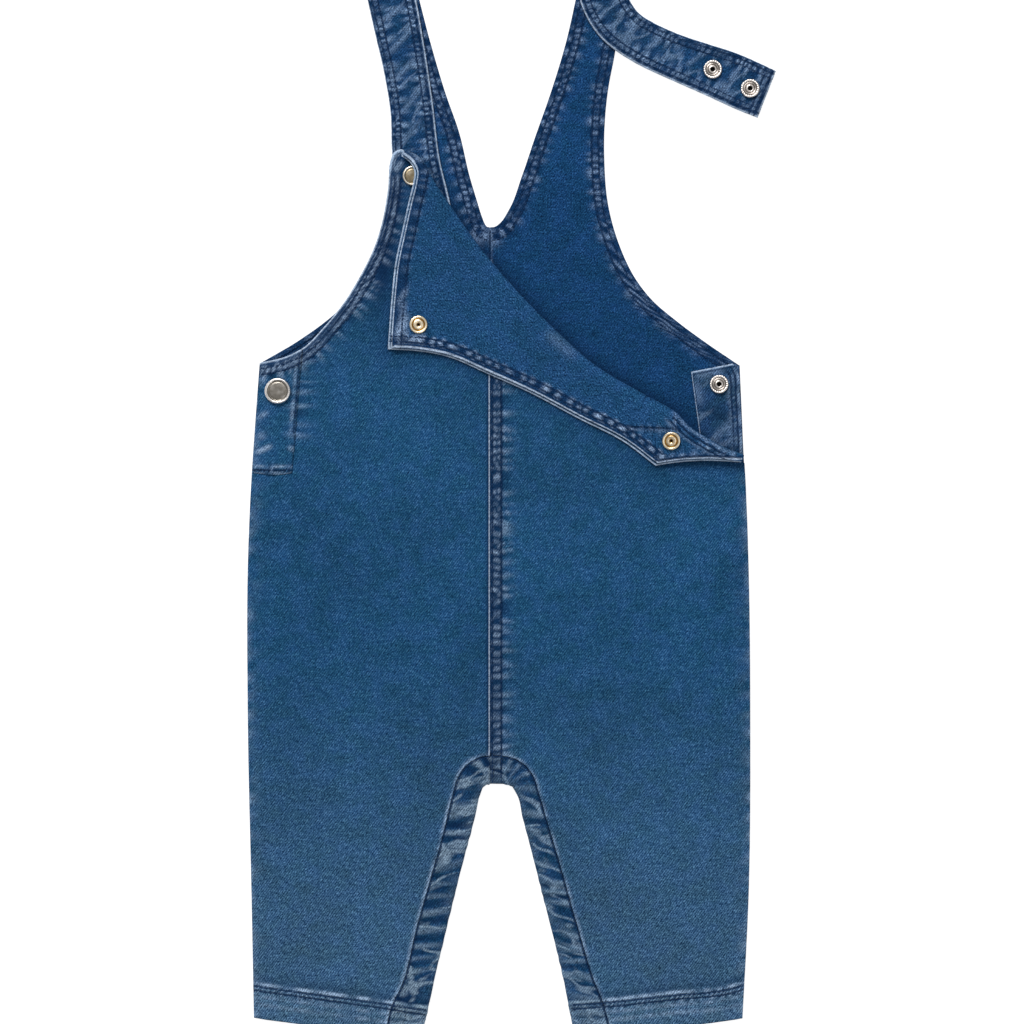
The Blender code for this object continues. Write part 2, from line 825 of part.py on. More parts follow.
def add_front_placket_left(garment):
    """The side placket, laid on the left front and made from its points, moved out."""
    strip = left_side_strip()[-PLACKET_ROWS - 1 :]
    edge = drawn_in(strip[:, 0], strip[:, -1], FACING_INSET)
    strip[:, 0] = edge
    heights = front_level(strip) + FACING_RISE
    add_cloth("front_placket_left", [with_height(strip, heights)], FACING, DENIM_FACE, garment)


def add_inner_leg(name, seam, edge, side, garment):
    """An inner-leg strip: its front half, the fold round the leg's inner edge, its back half.

    side is 1 where the gap between the legs lies to the strip's right, and -1 to its left.
    """
    seam_rows = rows_of(seam, (seam[0, 1], SEAM_BEND, CROTCH_TOP), SIDE_COUNTS[:2])
    edge_rows = rows_of(edge, (edge[0, 1], EDGE_BEND, CROTCH), SIDE_COUNTS[:2])
    out = -side * normals_of(edge_rows)
    out[-1] = (0.0, -1.0)
    reach = (FRONT_LEVEL - BACK_LEVEL) / 2 + CLOTH / 2
    line = edge_rows - out * reach
    for rows in (seam_rows, line):
        rows[-1, 0] = CENTRE - side * HALF_SEAM
    seam_rows[:-1] = drawn_in(seam_rows, line, HALF_SEAM)[:-1]
    seam_rows[-1, 1] -= HALF_SEAM
    flat = between(seam_rows, line, place_shares(STRIP_LANES))
    front = with_height(flat, front_level(flat))
    back = with_height(flat, BACK_LEVEL)
    rolled = roll(line, out, np.full(len(line), BACK_LEVEL), front_level(line), 0.0)
    add_cloth(name, [front, rolled, back], CLOTH, DENIM_FACE, garment)


def add_back(name, side, seam, armhole, neck, garment):
    """Half of the back, flat on the floor with its inside up, from the hem to the shoulder."""
    outer = np.vstack(
        [
            rows_up_side(side, armhole[0, 1])[:-1],
            rows_of(armhole, (armhole[0, 1], BACK_NECK, NECK_BEND, SHOULDER_SEAM), BACK_COUNTS),
        ]
    )
    inner = np.vstack(
        [
            rows_up_middle(seam, BACK_NECK, BACK_COUNTS[0])[:-1],
            rows_of(neck, (BACK_NECK, NECK_BEND, SHOULDER_SEAM), BACK_COUNTS[1:]),
        ]
    )
    inner = drawn_in(inner, outer, HALF_SEAM)
    grid = between(outer, inner, place_shares(BACK_LANES))
    add_cloth(name, [with_height(grid, BACK_LEVEL)], CLOTH, DENIM_INSIDE, garment)


def add_back_placket(garment):
    """The side placket on the inside of the right back."""
    inner = even_points(Lines.back_placket_inner, PLACKET_ROWS + 1)
    outer = even_points(Lines.back_placket_outer, PLACKET_ROWS + 1)
    grid = between(inner, outer, place_shares(STRIP_LANES))
    heights = with_height(grid, BACK_PLACKET_LEVEL)
    add_cloth("back_placket_right", [heights], CLOTH, DENIM_STRAP, garment)


def add_strap(name, left, right, back_left, back_right, garment):
    """A strap: from its seam at the shoulder up, over the shoulder fold, and down or aside."""
    shares = place_shares(STRAP_LANES)
    low = between(
        straight((back_left, SHOULDER_SEAM + GAP), left[0], 3),
        straight((back_right, SHOULDER_SEAM + GAP), right[0], 3),
        shares,
    )
    grid = between(even_points(left, STRAP_ROWS + 1), even_points(right, STRAP_ROWS + 1), shares)
    base = grid[0]
    top = STRAP / 2 + 2 * SHOULDER_ROLL
    level = strap_level(grid)
    loft = (top - level) * np.exp(-((away_from(grid, base) / SHOULDER_LOFT_RUN) ** 2))
    out = np.tile((0.0, 1.0), (len(base), 1))
    bottom = np.full(len(base), STRAP / 2)
    rolled = roll(base, out, bottom, np.full(len(base), top), 0.0)
    patches = [with_height(low, STRAP / 2), rolled, with_height(grid, level + loft)]
    add_cloth(name, patches, STRAP, DENIM_STRAP, garment)


def cap_profile(radius, height):
    """A snap cap from the middle of its dished top to the middle of its foot."""
    return (
        (0.0, 0.62 * height),
        (0.60 * radius, 0.62 * height),
        (0.70 * radius, 0.94 * height),
        (0.84 * radius, height),
        (radius, 0.66 * height),
        (0.97 * radius, 0.25 * height),
        (0.84 * radius, 0.0),
        (0.0, 0.0),
    )


def socket_profile(radius, height):
    """A snap socket with its blind hole."""
    return (
        (0.0, 0.30 * height),
        (0.20 * radius, 0.30 * height),
        (0.22 * radius, 0.80 * height),
        (0.44 * radius, 0.90 * height),
        (0.58 * radius, 0.66 * height),
        (0.72 * radius, 0.90 * height),
        (0.92 * radius, height),
        (radius, 0.55 * height),
        (0.92 * radius, 0.0),
        (0.0, 0.0),
    )


def snap_back_profile(radius, height):
    """The ring that holds a snap, seen from the reverse of the cloth."""
    return (
        (0.0, 0.40 * height),
        (0.42 * radius, 0.40 * height),
        (0.56 * radius, 0.86 * height),
        (0.78 * radius, height),
        (radius, 0.60 * height),
        (0.95 * radius, 0.0),
        (0.0, 0.0),
    )


def seat(level, place, radius):
    """Where a round piece rests on a surface: its middle's height and the slope there."""
    around = np.vstack([[place], ring(place, radius), ring(place, radius / 2)])
    heights = level(around)
    local = around - np.array(place)
    terms = np.column_stack([np.ones(len(local)), local])
    flat, slope_across, slope_up = np.linalg.lstsq(terms, heights, rcond=None)[0]
    above = (heights - terms @ (flat, slope_across, slope_up)).max()
    return flat + above + GAP, slope_across, slope_up


def add_snap(name, profile, size, place, level, finish, garment):
    """A turned piece that rests on the cloth and leans with it."""
    mesh = bpy.data.meshes.new(name)
    points = [(across * MM, 0.0, up * MM) for across, up in profile(*size)]
    mesh.from_pydata(points, [(k, k + 1) for k in range(len(points) - 1)], [])
    snap = add_object(name, mesh, finish, garment)
    turn = snap.modifiers.new("turn", "SCREW")
    turn.steps = SNAP_STEPS
    turn.render_steps = SNAP_STEPS
    turn.use_merge_vertices = True
    turn.merge_threshold = 10 * WELD
    turn.use_smooth_shade = True
    height, slope_across, slope_up = seat(level, place, size[0])
    snap.location = (place[0] * MM, place[1] * MM, height * MM)
    snap.rotation_euler = (math.atan(slope_up), -math.atan(slope_across), 0.0)


def add_snaps(garment):
    """The snaps, each on the piece that carries it."""

    def on_placket(points):
        return front_level(points) + FACING_RISE + FACING / 2

    def on_front(points):
        return front_level(points) + CLOTH / 2

    def on_facing(points):
        return flap_level(points) + FACING_RISE + FACING / 2

    def on_back_placket(points):
        return np.full(len(points), BACK_PLACKET_LEVEL + CLOTH / 2)

    def on_strap(points):
        return strap_level(points) + STRAP / 2

    for name, profile, size, place, level, finish in (
        ("snap_cap_side", cap_profile, CAP_SIDE, CAP_SIDE_PLACE, on_placket, PEWTER),
        ("snap_cap_bib", cap_profile, CAP_BIB, CAP_BIB_PLACE, on_front, BRASS),
        ("snap_back_bib", snap_back_profile, SNAP_BACK, SNAP_BACK_BIB_PLACE, on_facing, BRASS),
        ("snap_back_side", snap_back_profile, SNAP_BACK, SNAP_BACK_SIDE_PLACE, on_facing, BRASS),
        ("snap_socket_side", socket_profile, SOCKET, SOCKET_SIDE_PLACE, on_back_placket, NICKEL),
        ("snap_socket_strap_inner", socket_profile, SOCKET, SOCKET_STRAP_INNER_PLACE, on_strap, NICKEL),
        ("snap_socket_strap_end", socket_profile, SOCKET, SOCKET_STRAP_END_PLACE, on_strap, NICKEL),
    ):
        add_snap(name, profile, size, place, level, finish, garment)


def main():
    for old in list(bpy.data.objects):
        bpy.data.objects.remove(old, do_unlink=True)
    garment = bpy.data.collections.new("denim_overalls")
    bpy.context.scene.collection.children.link(garment)
    stations = fold_stations()
    add_back(
        "back_left",
        Lines.left_side,
        Lines.left_inner_seam,
        Lines.back_left_armhole,
        Lines.neck_left,
        garment,
    )
    add_back(
        "back_right",
        Lines.right_side,
        Lines.right_inner_seam,
        Lines.back_right_armhole,
        Lines.neck_right,
        garment,
    )
    add_back_placket(garment)
    add_inner_leg("inner_leg_left", Lines.left_inner_seam, Lines.left_inner_edge, 1, garment)
    add_inner_leg("inner_leg_right", Lines.right_inner_seam, Lines.right_inner_edge, -1, garment)
    add_strap(
        "strap_left",
        Lines.left_strap_outer,
        Lines.left_strap_inner,
        BACK_LEFT_ARMHOLE[-1][0],
        NECK_LEFT[-1][0],
        garment,
    )
    add_strap(
        "strap_right",
        Lines.right_strap_lower,
        Lines.right_strap_upper,
        NECK_RIGHT[-1][0],
        BACK_RIGHT_ARMHOLE[-1][0],
        garment,
    )
    add_front_left(garment, stations)
    add_front_right(garment, stations)
    add_front_placket_left(garment)
    add_bib_facings(garment, stations)
    add_snaps(garment)


main()
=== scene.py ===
"""A baby's denim dungarees, laid flat with one corner of the bib unfastened and turned down.

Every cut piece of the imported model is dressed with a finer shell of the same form, with its
seams, puckers, stitches and worn edges, and every snap with a turned metal piece. The tables
and functions work in millimetres; meshes are made in metres.
"""

import logging
import math
from collections.abc import Callable
from dataclasses import dataclass, field, replace
from enum import Enum
from functools import partial

import bmesh
import bpy
import numpy as np
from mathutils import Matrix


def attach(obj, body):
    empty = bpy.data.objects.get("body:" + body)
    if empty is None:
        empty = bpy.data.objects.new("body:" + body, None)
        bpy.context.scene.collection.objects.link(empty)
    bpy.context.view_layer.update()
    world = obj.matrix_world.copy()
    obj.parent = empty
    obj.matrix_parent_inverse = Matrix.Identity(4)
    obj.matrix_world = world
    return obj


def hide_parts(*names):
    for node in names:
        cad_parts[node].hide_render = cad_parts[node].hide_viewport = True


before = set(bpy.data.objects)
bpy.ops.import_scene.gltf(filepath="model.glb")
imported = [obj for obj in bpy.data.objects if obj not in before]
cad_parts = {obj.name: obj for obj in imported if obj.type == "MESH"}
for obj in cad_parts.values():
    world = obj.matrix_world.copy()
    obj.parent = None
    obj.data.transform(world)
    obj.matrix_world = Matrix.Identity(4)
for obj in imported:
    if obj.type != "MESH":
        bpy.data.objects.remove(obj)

Array = np.ndarray
Level = Callable[[Array], Array]

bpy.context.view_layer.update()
LOG = logging.getLogger("dungarees")

MM = 0.001
FAR = 99.0
BODY = "root"

# Thickness of each cloth and the gaps and heights of the layers, as in the solids
CLOTH = 1.2
FACING = 1.0
STRAP = 2.0
GAP = 0.3
HALF_SEAM = 0.004
BACK_LEVEL = CLOTH / 2
ON_BACK = CLOTH + GAP
FRONT_LEVEL = 3.2
SIDE_SEAM_LEVEL = ON_BACK + CLOTH / 2
BACK_PLACKET_LEVEL = ON_BACK + CLOTH / 2
STRAP_LEVEL = ON_BACK + STRAP / 2
FLAP_RISE = 1.7
FACING_RISE = CLOTH / 2 + GAP + FACING / 2

# How high the front swells inwards, over what runs it swells and is pinched at the sides, and
# how far round what lies underneath it is lifted
SWELL = 1.6
SWELL_RUN = 14.0
PINCH_RUN = 4.0
CLEAR_MARGIN = 3.0
CLEAR_RUN = 12.0
CAP_MARGIN = 2.0
CAP_RUN = 9.0

# How deep and how wide a placket's sewn edge is pressed, how far the facings stand back from the
# bib's edges, how much narrower the wear on a ridge is than on an edge, how far a seam fades past
# its ends, and a wall's thickness at its rim and one row in
PRESSED = 0.65
PRESSED_RUN = 0.9
FACING_INSET = 1.7
RIDGE = 2.2
SEAM_FADE = 2.0
RIM_WALL = 0.35
NEXT_WALL = 0.75

# Outline of the pattern: across, up
LEFT_SIDE = (
    (-141.4, -283.2), (-142.7, -218.9), (-144.9, -108.9), (-144.7, -31.9),
    (-142.5, 17.6), (-140.2, 50.6), (-138.3, 76.2),
)
RIGHT_SIDE = (
    (126.8, -283.5), (130.1, -218.9), (131.1, -119.9), (130.1, -31.9),
    (128.7, 6.6), (127.6, 25.9), (126.5, 50.6), (125.4, 75.0),
)
CENTRE = -11.8
CROTCH_TOP = -139.2
CROTCH = -154.6
BACK_NECK = 150.7
NECK_BEND = 170.0
UNDERARM = 76.2
LEFT_INNER_SEAM = (
    (-69.0, -292.6), (-65.7, -277.2), (-59.7, -264.6), (-51.8, -233.8), (-42.6, -201.3),
    (-36.2, -178.2), (-32.2, -161.7), (-28.6, -150.2), (-24.0, -144.0), (-18.4, -140.6),
    (CENTRE, CROTCH_TOP),
)
LEFT_INNER_EDGE = (
    (-50.6, -295.9), (-48.3, -287.1), (-39.9, -251.1), (-32.7, -221.1), (-26.1, -194.7),
    (-20.3, -173.2), (-17.3, -160.6), (-15.4, -156.2), (CENTRE, CROTCH),
)
RIGHT_INNER_SEAM = (
    (54.7, -292.6), (50.3, -275.6), (45.4, -263.5), (35.7, -232.1), (26.7, -200.2),
    (19.5, -176.0), (14.8, -160.1), (11.6, -150.4), (7.2, -144.6), (1.6, -141.2),
    (-4.6, -139.5), (CENTRE, CROTCH_TOP),
)
RIGHT_INNER_EDGE = (
    (35.8, -295.9), (33.8, -287.1), (27.2, -255.2), (20.6, -228.8), (13.5, -200.8),
    (6.9, -175.5), (3.0, -160.4), (0.4, -156.2), (-3.6, -154.8), (CENTRE, CROTCH),
)
LEFT_ARMHOLE = (
    (-138.3, 76.2), (-125.7, 78.9), (-114.7, 84.2), (-103.1, 95.7), (-90.7, 111.1),
    (-82.8, 124.3), (-76.2, 137.5), (-71.2, 152.4), (-67.7, 171.6), (-66.0, 188.1),
    (-64.6, 191.4), (-61.9, 193.0),
)
PLACKET_LINE = (
    (-120.0, -285.8), (-121.0, -218.9), (-122.6, -108.9), (-122.4, -31.9),
    (-120.2, 16.0), (-118.3, 38.5), (-114.7, 84.2),
)
PLACKET_FOOT = 16.0
FOLD = (
    (-57.6, 193.0), (-50.4, 188.4), (-45.4, 180.4), (-32.7, 161.4), (-17.3, 139.7),
    (-1.9, 121.3), (21.5, 96.8), (46.3, 74.8), (74.0, 58.3), (89.4, 49.5),
    (98.0, 41.0), (108.0, 34.6), (117.6, 29.4), (127.6, 25.9),
)
FOLD_ROLL = ((-57.6, 1.4), (40.0, 1.6), (88.0, 3.0), (127.6, 1.8))
ROLL_LOFT_RUN = 5.0
BIB_TOP = (
    (-60.2, 189.3), (-55.8, 186.0), (-53.2, 181.0), (-53.8, 174.9), (-56.4, 164.5),
    (-60.2, 147.4), (-63.5, 132.0), (-65.7, 112.2), (-67.8, 83.6),
)
BIB_ARMHOLE = (
    (-67.8, 83.6), (-50.3, 82.5), (-36.0, 79.8), (-12.9, 70.1), (9.6, 60.0),
    (37.1, 45.4), (61.3, 33.0), (78.9, 19.8),
)
BIB_SIDE = ((78.9, 19.8), (87.7, 21.3), (106.0, 22.6), (125.4, 21.8))
FOLD_AT_CORNER = 3.0
FOLD_AT_FACING_END = 72.0
FOLD_AT_SIDE_CORNER = 92.0
ARMHOLE_AT_FACING_END = 60.0
BACK_LEFT_ARMHOLE = (
    (-138.3, 76.2), (-116.3, 89.1), (-99.8, 101.2), (-89.4, 110.9), (-81.1, 124.9),
    (-74.5, 137.5), (-69.6, 152.4), (-66.3, 171.6), (-64.6, 193.6), (-65.2, 212.3),
    (-68.5, 234.9), (-73.4, 256.3), (-79.7, 284.0),
)
BACK_RIGHT_ARMHOLE = (
    (125.4, 75.0), (105.3, 88.6), (89.1, 100.7), (77.1, 111.1), (68.5, 122.1),
    (59.1, 141.6), (53.1, 163.4), (51.0, 188.1), (51.2, 207.4), (53.1, 226.6),
    (56.2, 243.1), (60.2, 265.1), (63.6, 284.0),
)
NECK_LEFT = (
    (CENTRE, BACK_NECK), (-13.4, 151.1), (-14.8, 153.1), (-16.1, 156.4), (-19.5, 167.2), (-22.8, 178.2),
    (-28.9, 203.5), (-36.4, 225.0), (-44.3, 251.6), (-52.7, 284.0),
)
NECK_RIGHT = (
    (CENTRE, BACK_NECK), (-9.4, 151.0), (-6.6, 153.0), (-1.4, 160.6), (5.8, 179.3),
    (12.7, 199.7), (21.6, 225.0), (29.4, 250.6), (37.0, 284.0),
)
SHOULDER_SEAM = 284.0
SHOULDER_ROLL = 1.6
SHOULDER_LOFT_RUN = 16.0
LEFT_STRAP_OUTER = (
    (-82.4, 293.4), (-79.1, 276.1), (-74.7, 256.3), (-69.8, 234.9),
    (-66.3, 212.3), (-65.7, 193.6), (-63.5, 171.6), (-56.9, 141.4),
)
LEFT_STRAP_INNER = (
    (-56.6, 293.4), (-52.5, 276.1), (-48.1, 251.4), (-43.2, 218.9),
    (-39.3, 187.6), (-33.8, 164.5), (-31.1, 146.3),
)
RIGHT_STRAP_LOWER = (
    (35.5, 293.4), (36.0, 282.7), (37.6, 275.2), (42.4, 264.0), (50.2, 253.6), (58.3, 247.0),
    (70.7, 239.8), (85.5, 232.9), (105.3, 224.1), (124.9, 215.2), (135.2, 211.1),
)
RIGHT_STRAP_UPPER = (
    (62.0, 293.4), (62.8, 282.7), (64.9, 275.4), (69.5, 268.8), (77.8, 263.5), (89.4, 258.0),
    (105.3, 252.5), (124.9, 246.1), (145.3, 236.8),
)
BACK_PLACKET_INNER = ((105.9, 16.0), (104.0, 32.6), (100.4, 58.9), (98.7, 71.5))
BACK_PLACKET_OUTER = ((127.3, 16.0), (126.9, 32.0), (125.6, 58.0), (124.4, 71.6), (121.6, 76.0))

# Stitch rows that no edge leads: the hems, and the sewing at the turned-down bib's right end
HEM_LEFT = ((-141.6, -266.0), (-104.0, -271.0), (-67.4, -276.1), (-47.2, -279.3))
HEM_RIGHT = ((33.0, -276.4), (54.7, -274.7), (89.9, -270.8), (116.3, -268.4), (127.3, -265.9))
END_SEAM = ((58.0, 41.6), (65.7, 41.0), (76.0, 40.6), (86.0, 40.0), (92.5, 39.2))
END_EDGE = (90.0, 119.0)
TAB_START = 174.0
BACK_CENTRE = ((CENTRE, 149.0), (CENTRE, 128.0))

# Where the stretches of rows end up the garment, and how the rows crowd at the bib's right end
SIDE_STOPS = (-168.0, -122.0, PLACKET_FOOT)
HEM_STOP_SIDE = -258.0
HEM_STOP_SEAM = -268.0
SEAM_BEND = -163.0
EDGE_BEND = -176.0
END_SHARES = (0.0, 0.4, 0.72, 0.92, 1.0)

# Points in a line and in a ring, steps of a curve for each, places in from a rolled edge, waves
# in a ripple, points worked out at a time, and the most of its width that a piece is drawn in
OUTLINE_POINTS = 240
RING_POINTS = 24
CURVE_STEPS = 8
RIM_PLACES = (0.0, 0.25, 0.6, 1.1)
RIPPLE_WAVES = 12
BLOCK = 8192
MOST_DRAWN_IN = 0.45

# The denim grows paler below this height, over this run
WASH_START = -60.0
WASH_RUN = 210.0

# The angle at which the facing's roll starts, in degrees
FACING_ROLL_START = -15.0

# What the sewing leaves at each place of the cloth, as attributes of its mesh
MARKS = ("wear", "dark", "ink_and_shade", "wash", "row", "edge")


def smooth_line(points: tuple, count: int = OUTLINE_POINTS) -> Array:
    """Evenly spaced points on the smooth curve through a table's points.

    Between two points runs the cubic that has the table's slopes at both.

    Args:
        points: the table, across and up.
        count: how many points come back.

    Returns:
        The points, one row each.
    """
    knots = np.array(points, float)
    gaps = np.linalg.norm(np.diff(knots, axis=0), axis=1)
    along = np.concatenate([[0.0], np.cumsum(gaps)])
    slopes = np.gradient(knots, along, axis=0)
    fine = np.linspace(0.0, along[-1], CURVE_STEPS * count)
    piece = np.clip(np.searchsorted(along, fine, side="right") - 1, 0, len(gaps) - 1)
    span = gaps[piece][:, None]
    t = ((fine - along[piece]) / gaps[piece])[:, None]
    curve = (
        (2 * t**3 - 3 * t**2 + 1) * knots[piece]
        + (t**3 - 2 * t**2 + t) * slopes[piece] * span
        + (3 * t**2 - 2 * t**3) * knots[piece + 1]
        + (t**3 - t**2) * slopes[piece + 1] * span
    )
    return even_points(curve, count)


def distance_along(line: Array) -> Array:
    """How far along a line each of its points is."""
    return np.concatenate([[0.0], np.cumsum(np.linalg.norm(np.diff(line, axis=0), axis=1))])


def points_at(line: Array, distances: Array) -> Array:
    """Points on a line at distances from its start."""
    along = distance_along(line)
    return np.stack([np.interp(distances, along, line[:, k]) for k in range(2)], axis=1)


def even_points(line: Array, count: int) -> Array:
    """The line again, with its points at even distances."""
    return points_at(line, np.linspace(0.0, distance_along(line)[-1], count))


def place_shares(count: int) -> Array:
    """Even shares from 0 to 1, for that many steps."""
    return np.linspace(0.0, 1.0, count + 1)


def rim_shares(count: int, width: float, first: bool = True, last: bool = True) -> Array:
    """Shares from 0 to 1 that crowd at the rims, so that a rolled edge has points.

    Args:
        count: steps between the rims.
        width: how wide the piece is there, in millimetres.
        first: whether the start is a rim.
        last: whether the end is one.

    Returns:
        The shares.
    """
    near = np.array(RIM_PLACES) / width
    start = near if first else np.zeros(1)
    end = 1 - near[::-1] if last else np.ones(1)
    middle = np.linspace(start[-1], end[0], count + 1)[1:-1]
    return np.concatenate([start, middle, end])


def stretch(line: Array, axis: int, start: float, end: float, shares: Array) -> Array:
    """Points at shares of the part of a line between two values of one coordinate.

    Args:
        line: the line.
        axis: 0 for across, 1 for up.
        start: the coordinate where the part starts.
        end: and where it ends.
        shares: places along the part, from 0 to 1.

    Returns:
        The points.
    """
    sign = 1.0 if line[-1, axis] > line[0, axis] else -1.0
    ordered = np.maximum.accumulate(sign * line[:, axis])
    first, last = np.interp([sign * start, sign * end], ordered, distance_along(line))
    return points_at(line, first + (last - first) * np.asarray(shares))


def rows_of(line: Array, heights: tuple, counts: tuple) -> Array:
    """Points on a line: from each height to the next, that many rows."""
    parts = [
        stretch(line, 1, low, high, place_shares(count))
        for low, high, count in zip(heights[:-1], heights[1:], counts)
    ]
    return np.vstack([part[:-1] for part in parts] + [parts[-1][-1:]])


def straight(start: tuple, end: tuple, count: int) -> Array:
    """Even points on a straight line."""
    return np.linspace(np.array(start, float), np.array(end, float), count)


def normals_of(line: Array) -> Array:
    """Unit vectors square to a line, on its left."""
    direction = np.gradient(line, axis=0)
    direction /= np.linalg.norm(direction, axis=1)[:, None]
    return np.stack([-direction[:, 1], direction[:, 0]], axis=1)


def drawn_in(line: Array, towards: Array, distance: float) -> Array:
    """A line moved by a distance towards another line of as many points."""
    way = towards - line
    length = np.maximum(np.linalg.norm(way, axis=1), 1e-9)
    return line + way * np.minimum(distance / length, MOST_DRAWN_IN)[:, None]


def between(left: Array, right: Array, lanes: Array, head: Array | None = None) -> Array:
    """A grid of points between two lines.

    Args:
        left: the line at lane 0.
        right: the line at lane 1, with as many points.
        lanes: the shares across.
        head: the shape of the last row, which bends the rows below it less and less.

    Returns:
        The grid, rows by lanes.
    """
    lanes = np.asarray(lanes, float)[None, :, None]
    grid = left[:, None] * (1 - lanes) + right[:, None] * lanes
    if head is None:
        return grid
    up = np.linspace(0.0, 1.0, len(left))[:, None, None]
    return grid + up * (head - grid[-1])[None]


def measure(points: Array, line: Array) -> tuple[Array, Array]:
    """How far each point is from a line, and how far along it its nearest place is.

    Args:
        points: places on the floor.
        line: the line.

    Returns:
        The distance, positive on the line's left, and the distance along.
    """
    flat = points.reshape(-1, 2).astype(np.float32)
    start, way = line[:-1].astype(np.float32), np.diff(line, axis=0).astype(np.float32)
    length = np.maximum(np.linalg.norm(way, axis=1), 1e-6)
    along = distance_along(line)[:-1]
    across, down = np.empty(len(flat)), np.empty(len(flat))
    for first in range(0, len(flat), BLOCK):
        part = flat[first : first + BLOCK]
        gap_x = part[:, :1] - start[None, :, 0]
        gap_y = part[:, 1:] - start[None, :, 1]
        share = np.clip((gap_x * way[:, 0] + gap_y * way[:, 1]) / length**2, 0, 1)
        square = (gap_x - share * way[:, 0]) ** 2 + (gap_y - share * way[:, 1]) ** 2
        best = square.argmin(axis=1)
        pick = np.arange(len(part))
        side = way[best, 0] * gap_y[pick, best] - way[best, 1] * gap_x[pick, best]
        sign = np.where(side >= 0, 1.0, -1.0)
        across[first : first + BLOCK] = np.sqrt(square[pick, best]) * sign
        down[first : first + BLOCK] = along[best] + share[pick, best] * length[best]
    return across.reshape(points.shape[:-1]), down.reshape(points.shape[:-1])


def away_from(points: Array, line: Array) -> Array:
    """How far each point is from a line."""
    return np.abs(measure(points, line)[0])


def inside(points: Array, outline: Array) -> Array:
    """Whether each point is inside a closed outline: a level line crosses it an odd number of times."""
    flat = points.reshape(-1, 2)
    start, end = outline, np.roll(outline, -1, axis=0)
    rise = end[:, 1] - start[:, 1]
    safe = np.where(np.abs(rise) < 1e-12, 1e-12, rise)
    odd = np.empty(len(flat), bool)
    for first in range(0, len(flat), BLOCK):
        x, y = flat[first : first + BLOCK, 0, None], flat[first : first + BLOCK, 1, None]
        crossing = start[:, 0] + (y - start[:, 1]) / safe * (end[:, 0] - start[:, 0])
        crosses = ((start[:, 1] > y) != (end[:, 1] > y)) & (x < crossing)
        odd[first : first + BLOCK] = crosses.sum(-1) % 2 == 1
    return odd.reshape(points.shape[:-1])


def ease(share: Array) -> Array:
    """A smooth step from 0 to 1."""
    share = np.clip(share, 0.0, 1.0)
    return share * share * (3 - 2 * share)


def cover(points: Array, outline: Array, margin: float = CLEAR_MARGIN, run: float = CLEAR_RUN) -> Array:
    """1 on an outline and close round it, falling smoothly to 0."""
    closed = np.vstack([outline, outline[:1]])
    distance = np.where(inside(points, outline), 0.0, away_from(points, closed))
    return ease(1 - (distance - margin) / run)


def lifted(
    heights: Array,
    points: Array,
    outline: Array,
    level: float,
    margin: float = CLEAR_MARGIN,
    run: float = CLEAR_RUN,
) -> Array:
    """Heights raised to a level where a piece lies underneath."""
    return heights + np.maximum(level - heights, 0) * cover(points, outline, margin, run)


def ring(place: tuple, radius: float) -> Array:
    """Points on a circle."""
    angles = np.linspace(0, 2 * math.pi, RING_POINTS, endpoint=False)
    return np.array(place) + radius * np.stack([np.cos(angles), np.sin(angles)], axis=1)


def ripple(points: Array, length: float, seed: int) -> Array:
    """Smooth uneven noise about 0: the sum of sine waves in many directions.

    Args:
        points: places.
        length: the middle wavelength, in millimetres.
        seed: picks the waves' directions, lengths and phases.

    Returns:
        Values mostly from -1.5 to 1.5.
    """
    rng = np.random.default_rng(seed)
    angle, phase = rng.uniform(0, 2 * math.pi, (2, RIPPLE_WAVES))
    wave = 2 * math.pi / (length * rng.uniform(0.6, 1.7, RIPPLE_WAVES))
    total = np.zeros(points.shape[:-1])
    for k in range(RIPPLE_WAVES):
        way = points[..., 0] * math.cos(angle[k]) + points[..., 1] * math.sin(angle[k])
        total += np.sin(wave[k] * way + phase[k])
    return total * math.sqrt(2 / RIPPLE_WAVES)


class Lines:
    """The smooth lines that the panels share."""

    left_side = smooth_line(LEFT_SIDE)
    right_side = smooth_line(RIGHT_SIDE)
    left_armhole = smooth_line(LEFT_ARMHOLE)
    placket_line = smooth_line(PLACKET_LINE)
    left_inner_seam = smooth_line(LEFT_INNER_SEAM)
    right_inner_seam = smooth_line(RIGHT_INNER_SEAM)
    left_inner_edge = smooth_line(LEFT_INNER_EDGE)
    right_inner_edge = smooth_line(RIGHT_INNER_EDGE)
    fold = smooth_line(FOLD)
    bib_top = smooth_line(BIB_TOP)
    bib_armhole = smooth_line(BIB_ARMHOLE)
    bib_side = smooth_line(BIB_SIDE)
    back_left_armhole = smooth_line(BACK_LEFT_ARMHOLE)
    back_right_armhole = smooth_line(BACK_RIGHT_ARMHOLE)
    neck_left = smooth_line(NECK_LEFT)
    neck_right = smooth_line(NECK_RIGHT)
    left_strap_outer = smooth_line(LEFT_STRAP_OUTER)
    left_strap_inner = smooth_line(LEFT_STRAP_INNER)
    right_strap_lower = smooth_line(RIGHT_STRAP_LOWER)
    right_strap_upper = smooth_line(RIGHT_STRAP_UPPER)
    back_placket_inner = smooth_line(BACK_PLACKET_INNER)
    back_placket_outer = smooth_line(BACK_PLACKET_OUTER)
    centre = straight((CENTRE, CROTCH), (CENTRE, 74.0), OUTLINE_POINTS)
    hem_left = smooth_line(HEM_LEFT)
    hem_right = smooth_line(HEM_RIGHT)
    end_seam = smooth_line(END_SEAM, 60)
    end_edge = stretch(fold, 0, END_EDGE[0], END_EDGE[1], place_shares(60))
    back_centre = straight(BACK_CENTRE[0], BACK_CENTRE[1], 30)


